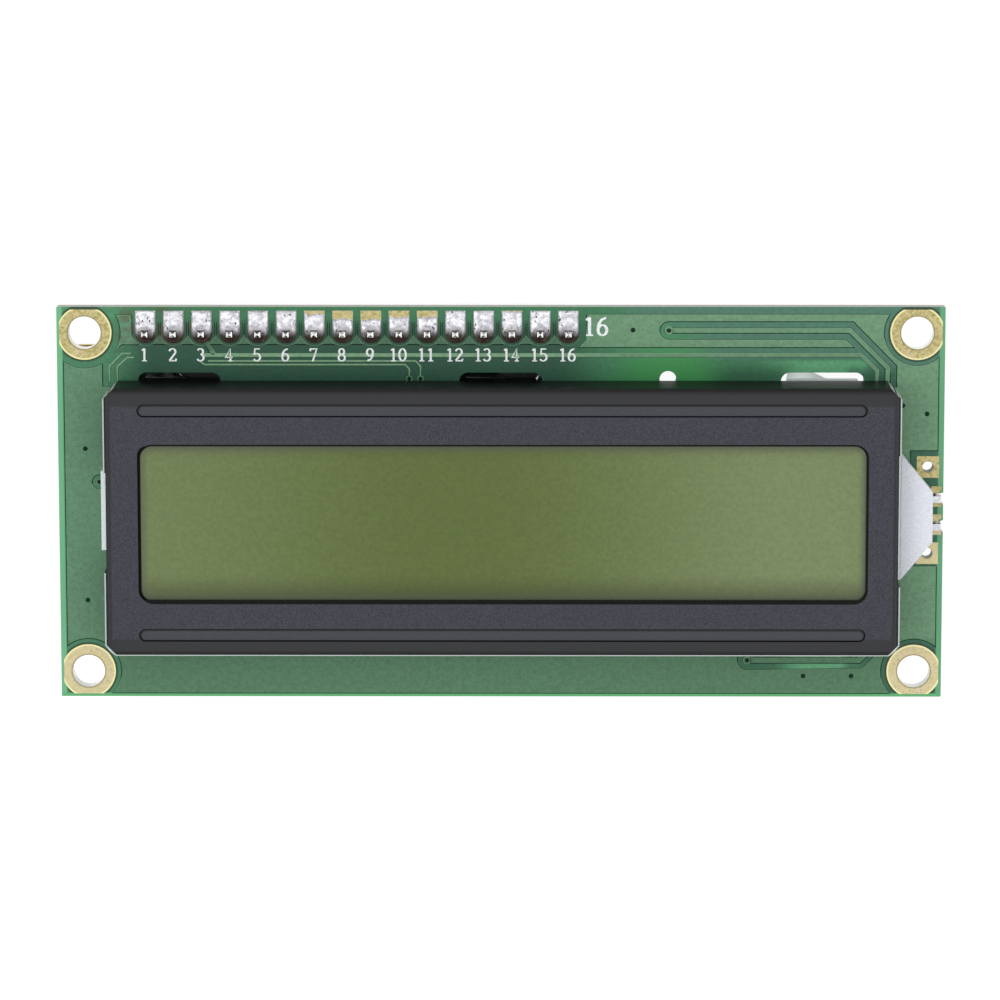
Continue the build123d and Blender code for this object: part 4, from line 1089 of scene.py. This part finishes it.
class DISPLAY_OT_adapter(bpy.types.Operator):
    """Finishes the serial adapter board and its parts"""
    bl_idname = "display.adapter"
    bl_label = "Serial adapter"
    bl_options = {"REGISTER", "UNDO"}

    def execute(self, context):
        dress(self.mask(), "adapter_board")
        self.copper(ADAPTER_LOW.z, ADAPTER_LOW.z - 0.035)
        self.joints()
        self.outlines(context.scene.display_module.board.print_ink, ADAPTER_LOW.z, ADAPTER_LOW.z - 0.05)
        dress(plain_finish("black_moulding", tint(26, 26, 28), tint(38, 38, 40), 8.0, roughness=0.5),
              "header_housing", "bus_header_housing", "jumper_header_housing", "jumper_cap", "backlight_transistor")
        dress(self.chip(), "expander_chip_body")
        dress(ended_finish("adapter_resistor", tint(30, 30, 32), tint(44, 44, 46), -26.3), "adapter_resistors")
        dress(ended_finish("adapter_capacitor", tint(178, 142, 104), tint(160, 124, 88), 2.9), "adapter_capacitors")
        dress(ended_finish("lamp_red", tint(206, 70, 60), tint(176, 48, 42), 2.9), "power_lamp")
        dress(plain_finish("trimmer_blue", tint(36, 98, 190), tint(26, 80, 168), 5.0, roughness=0.35), "trimmer_body")
        dress(plain_finish("rotor_white", tint(232, 232, 226), tint(214, 214, 206), 5.0, roughness=0.45),
              "trimmer_rotor")
        dress(plain_finish("gold_pin", tint(226, 192, 116), tint(206, 170, 96), 3.0, roughness=0.28, metallic=1.0),
              *nodes_named("bus_header_pin"), *nodes_named("jumper_header_pin"))
        return {"FINISHED"}

    def mask(self):
        """Black mask with brown laminate on the cut sides."""
        finish = Finish("black_mask", roughness=0.35, coat_weight=0.2)
        fibre = finish.noise(1.0, 4.0, 0.6, (1.0, 1.0, 14.0))
        cut = finish.mix(fibre, tint(92, 84, 60), tint(140, 130, 98))
        face = grained(finish, tint(26, 28, 33))
        finish.put("Base Color", finish.mix(finish.level.ramp(0.6, 0.3), face, cut))
        finish.bump(finish.noise(6.0, 2.0), 0.12, 0.02)
        return finish

    def chip(self):
        """Dark moulded case with a round mark at its first lead."""
        finish = Finish("chip_case", specular_ior_level=0.4)
        grain = finish.noise(10.0, 3.0, 0.6)
        low, high = box_mm("expander_chip_body")
        mark = finish.distance(low.x + 1.3, high.y - 1.3).ramp(0.55, 0.5)
        moulded = finish.mix(grain, tint(30, 30, 32), tint(44, 44, 47))
        finish.put("Base Color", finish.mix(mark, moulded, tint(18, 18, 20)))
        finish.put("Roughness", finish.mix(mark, (0.6, 0.6, 0.6), (0.2, 0.2, 0.2)))
        finish.bump(grain, 0.2, 0.02)
        return finish

    def copper(self, base, top):
        """Masked tracks from the chip to the pin row, and the tinned pads of all pins."""
        tracks, pads = Form(), Form()
        low, high = box_mm("expander_chip_leads")
        for index in range(8):
            lead = low.x + 0.21 + 1.27 * index
            pin = PIN_CENTRES[index + 3].x
            tracks.slab([ribbon([(lead, 10.2), (lead, 10.8), (pin, 13.2), (pin, 14.7)], 0.26)], base, top, 0.015)
            for y in (high.y - 0.1, low.y + 0.1):
                pads.slab([rectangle(lead - 0.33, y - 0.75, lead + 0.33, y + 0.4)], base, top - 0.01, 0.01)
            tracks.slab([ribbon([(lead, -0.6), (lead, -1.2)], 0.24)], base, top, 0.015)
        for y in ADAPTER_RESISTORS:
            tracks.slab([ribbon([(-30.2, y + 0.5), (-28.6, y), (-27.4, y)], 0.26)], base, top, 0.015)
        tracks.slab([ribbon([(-28.4, -1.35), (6.6, -1.35)], 0.5)], base, top, 0.015)
        for centre in PIN_CENTRES:
            pads.slab([circle(centre.x, centre.y, 0.98, 32)], base, top - 0.01, 0.01)
        mask = plain_finish("track_mask", tint(44, 47, 54), tint(36, 39, 45), 3.0, roughness=0.35, coat_weight=0.2)
        tracks.piece("adapter_tracks", mask, "black_board")
        pads.piece("adapter_pads", gold_finish("adapter_tin", tint(206, 206, 200), 0.2), "solder")

    def joints(self):
        """Smooth concave solder cones on the pins of both sides."""
        form = Form()
        cone = ((0.85, 0.0), (0.7, 0.05), (0.55, 0.16), (0.45, 0.34), (0.39, 0.6), (0.34, 0.85), (0, 0.85))
        spots = [(centre.x, centre.y, ADAPTER_LOW.z, -1) for centre in PIN_CENTRES]
        upper = [(-29.8, 13.2 - 2.54 * step) for step in range(4)]
        upper += [(3.9, 10.4), (3.9, 7.86), (-5.14, 3.06), (-0.06, 3.06), (-2.6, 8.14)]
        spots += [(x, y, ADAPTER_HIGH.z, 1) for x, y in upper]
        for x, y, face, way in spots:
            form.lathe([(0, face), *[(radius, face + way * height) for radius, height in cone]], x, y, 24)
        bright = plain_finish("joint_tin", tint(222, 224, 228), tint(150, 152, 158), 3.0, roughness=0.3, metallic=1.0)
        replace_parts(form.piece("adapter_joints", bright, "solder", smooth=50.0), "adapter_solder_joints")
        dress(bright, "adapter_solder_joints")

    def outlines(self, ink, base, top):
        """White outlines round the adapter's parts."""
        form = Form()
        for node, grow in (("expander_chip_body", -0.1), ("trimmer_body", 0.3), ("backlight_transistor", 0.1),
                           ("power_lamp", 0.35), ("bus_header_housing", 0.1), ("jumper_header_housing", 0.15)):
            low, high = box_mm(node)
            left, right = max(low.x - grow, ADAPTER_LOW.x + 0.2), min(high.x + grow, ADAPTER_HIGH.x - 0.2)
            form.frame(left, low.y - grow, right, high.y + grow, base, top)
        for y in ADAPTER_RESISTORS:
            form.frame(-27.6, y - 0.85, -25.0, y + 0.85, base, top, 0.1)
        for y in (3.4, 6.4):
            form.frame(1.6, y - 0.9, 4.2, y + 0.9, base, top, 0.1)
        form.piece("adapter_print", ink_finish("adapter_ink", ink), "white_film")


class DISPLAY_OT_stage(bpy.types.Operator):
    """Sets up the floor, the light and the camera"""
    bl_idname = "display.stage"
    bl_label = "Stage"
    bl_options = {"REGISTER", "UNDO"}

    def execute(self, context):
        stage, scene = context.scene.display_module.stage, context.scene
        scene.view_settings.view_transform = "Standard"
        self.floor(stage)
        self.sky(scene)
        self.lamps()
        self.camera(stage, scene)
        return {"FINISHED"}

    def floor(self, stage):
        """Pale floor that nearly whitens for the camera and keeps a faint shadow."""
        low = min(corner.z for corner in (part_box(name)[0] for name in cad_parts))
        mesh = bpy.data.meshes.new("floor")
        form = bmesh.new()
        bmesh.ops.create_grid(form, x_segments=4, y_segments=4, size=3.0)
        form.to_mesh(mesh)
        form.free()
        floor = bpy.data.objects.new("floor", mesh)
        floor.location.z = low - stage.floor_gap
        bpy.context.scene.collection.objects.link(floor)
        finish = Finish("floor_paper", roughness=0.9, specular_ior_level=0.1, emission_strength=0.35)
        finish.put("Emission Color", (1.0, 1.0, 1.0))
        darker = tuple(value * 0.98 for value in stage.floor)
        finish.put("Base Color", finish.mix(finish.noise(0.02, 2.0), stage.floor, darker))
        rays = finish.node("LightPath").outputs
        seen = finish.math("MAXIMUM", rays["Is Camera Ray"], rays["Is Transmission Ray"])
        glow = finish.node("Emission", {"Color": (1.0, 1.0, 1.0), "Strength": 0.92})
        paper = finish.node("BsdfDiffuse", {"Color": (0.16, 0.16, 0.16)})
        bright = finish.node("AddShader", {0: glow.outputs[0], 1: paper.outputs[0]})
        lit = finish.node("MixShader", {0: seen, 1: finish.shader.outputs[0], 2: bright.outputs[0]})
        clear = finish.node("BsdfTransparent")
        underside = finish.node("NewGeometry").outputs["Backfacing"]
        mixed = finish.node("MixShader", {0: underside, 1: lit.outputs[0], 2: clear.outputs[0]})
        finish.feed(finish.tree.nodes["Material Output"].inputs["Surface"], mixed.outputs[0])
        mesh.materials.append(finish.material)

    def sky(self, scene):
        """Soft surround, brighter above than at the horizon."""
        world = bpy.data.worlds.new("studio")
        scene.world = world
        world.use_nodes = True
        tree = world.node_tree
        nodes = tree.nodes
        background = nodes["Background"]
        place = nodes.new("ShaderNodeTexCoord")
        split = nodes.new("ShaderNodeSeparateXYZ")
        tree.links.new(place.outputs["Generated"], split.inputs[0])
        level = nodes.new("ShaderNodeMapRange")
        level.interpolation_type = "SMOOTHSTEP"
        tree.links.new(split.outputs["Z"], level.inputs["Value"])
        for socket, value in (("From Min", 0.0), ("From Max", 1.0), ("To Min", 0.14), ("To Max", 1.27)):
            level.inputs[socket].default_value = value
        rays = nodes.new("ShaderNodeLightPath")
        pick = nodes.new("ShaderNodeMix")
        tree.links.new(rays.outputs["Is Camera Ray"], pick.inputs[0])
        tree.links.new(level.outputs[0], pick.inputs[2])
        pick.inputs[3].default_value = 1.0
        tree.links.new(pick.outputs[0], background.inputs["Strength"])
        background.inputs["Color"].default_value = (1.0, 1.0, 1.0, 1.0)

    def lamps(self):
        """Two soft panels above the object."""
        for name, place, power in (("left_panel", (-0.55, 0.1, 0.85), 1.8), ("right_panel", (0.55, -0.1, 0.85), 1.4)):
            light = bpy.data.lights.new(name, "AREA")
            light.energy = power
            light.size = 0.4
            lamp = bpy.data.objects.new(name, light)
            lamp.location = place
            lamp.rotation_euler = (-Vector(place)).to_track_quat("-Z", "Y").to_euler()
            bpy.context.scene.collection.objects.link(lamp)

    def camera(self, stage, scene):
        """Camera where the photograph was taken from."""
        data = bpy.data.cameras.new("camera")
        data.lens = stage.lens
        data.shift_x = -0.0008
        data.shift_y = 0.0028
        data.clip_end = 10.0
        turns = ((stage.roll, "Z"), (stage.tilt, "X"), (stage.turn, "Y"))
        roll, tilt, turn = (Matrix.Rotation(angle_about, 4, axis) for angle_about, axis in turns)
        camera = bpy.data.objects.new("camera", data)
        camera.matrix_world = (roll @ tilt @ turn).transposed() @ Matrix.Translation((0.0, 0.0, stage.distance))
        scene.collection.objects.link(camera)
        scene.camera = camera


class ModuleSettings(bpy.types.PropertyGroup):
    """All settings of the display module."""
    board: bpy.props.PointerProperty(type=BoardSettings)
    pin_row: bpy.props.PointerProperty(type=PinRowSettings)
    bezel: bpy.props.PointerProperty(type=BezelSettings)
    display: bpy.props.PointerProperty(type=DisplaySettings)
    stage: bpy.props.PointerProperty(type=StageSettings)


MAKERS = (
    DISPLAY_OT_board, DISPLAY_OT_rings, DISPLAY_OT_numbers, DISPLAY_OT_pin_row, DISPLAY_OT_bezel, DISPLAY_OT_window,
    DISPLAY_OT_backlight, DISPLAY_OT_rear, DISPLAY_OT_adapter, DISPLAY_OT_stage,
)


class DISPLAY_PT_panel(bpy.types.Panel):
    """Lists the steps that dress the module"""
    bl_label = "Display module"
    bl_space_type = "VIEW_3D"
    bl_region_type = "UI"
    bl_category = "Display"

    def draw(self, context):
        for maker in MAKERS:
            self.layout.operator(maker.bl_idname)
        for group in ("board", "pin_row", "bezel", "display", "stage"):
            box = self.layout.box()
            settings = getattr(context.scene.display_module, group)
            for name in settings.bl_rna.properties.keys():
                if name not in ("rna_type", "name"):
                    box.prop(settings, name)


CLASSES = (
    BoardSettings, PinRowSettings, BezelSettings, DisplaySettings, StageSettings, ModuleSettings, *MAKERS,
    DISPLAY_PT_panel,
)


def register():
    for item in CLASSES:
        bpy.utils.register_class(item)
    bpy.types.Scene.display_module = bpy.props.PointerProperty(type=ModuleSettings)


def unregister():
    del bpy.types.Scene.display_module
    for item in reversed(CLASSES):
        bpy.utils.unregister_class(item)


def main():
    """Dresses the module step by step."""
    register()
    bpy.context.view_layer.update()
    for maker in MAKERS:
        group, name = maker.bl_idname.split(".")
        getattr(getattr(bpy.ops, group), name)()


if __name__ == "__main__":
    main()
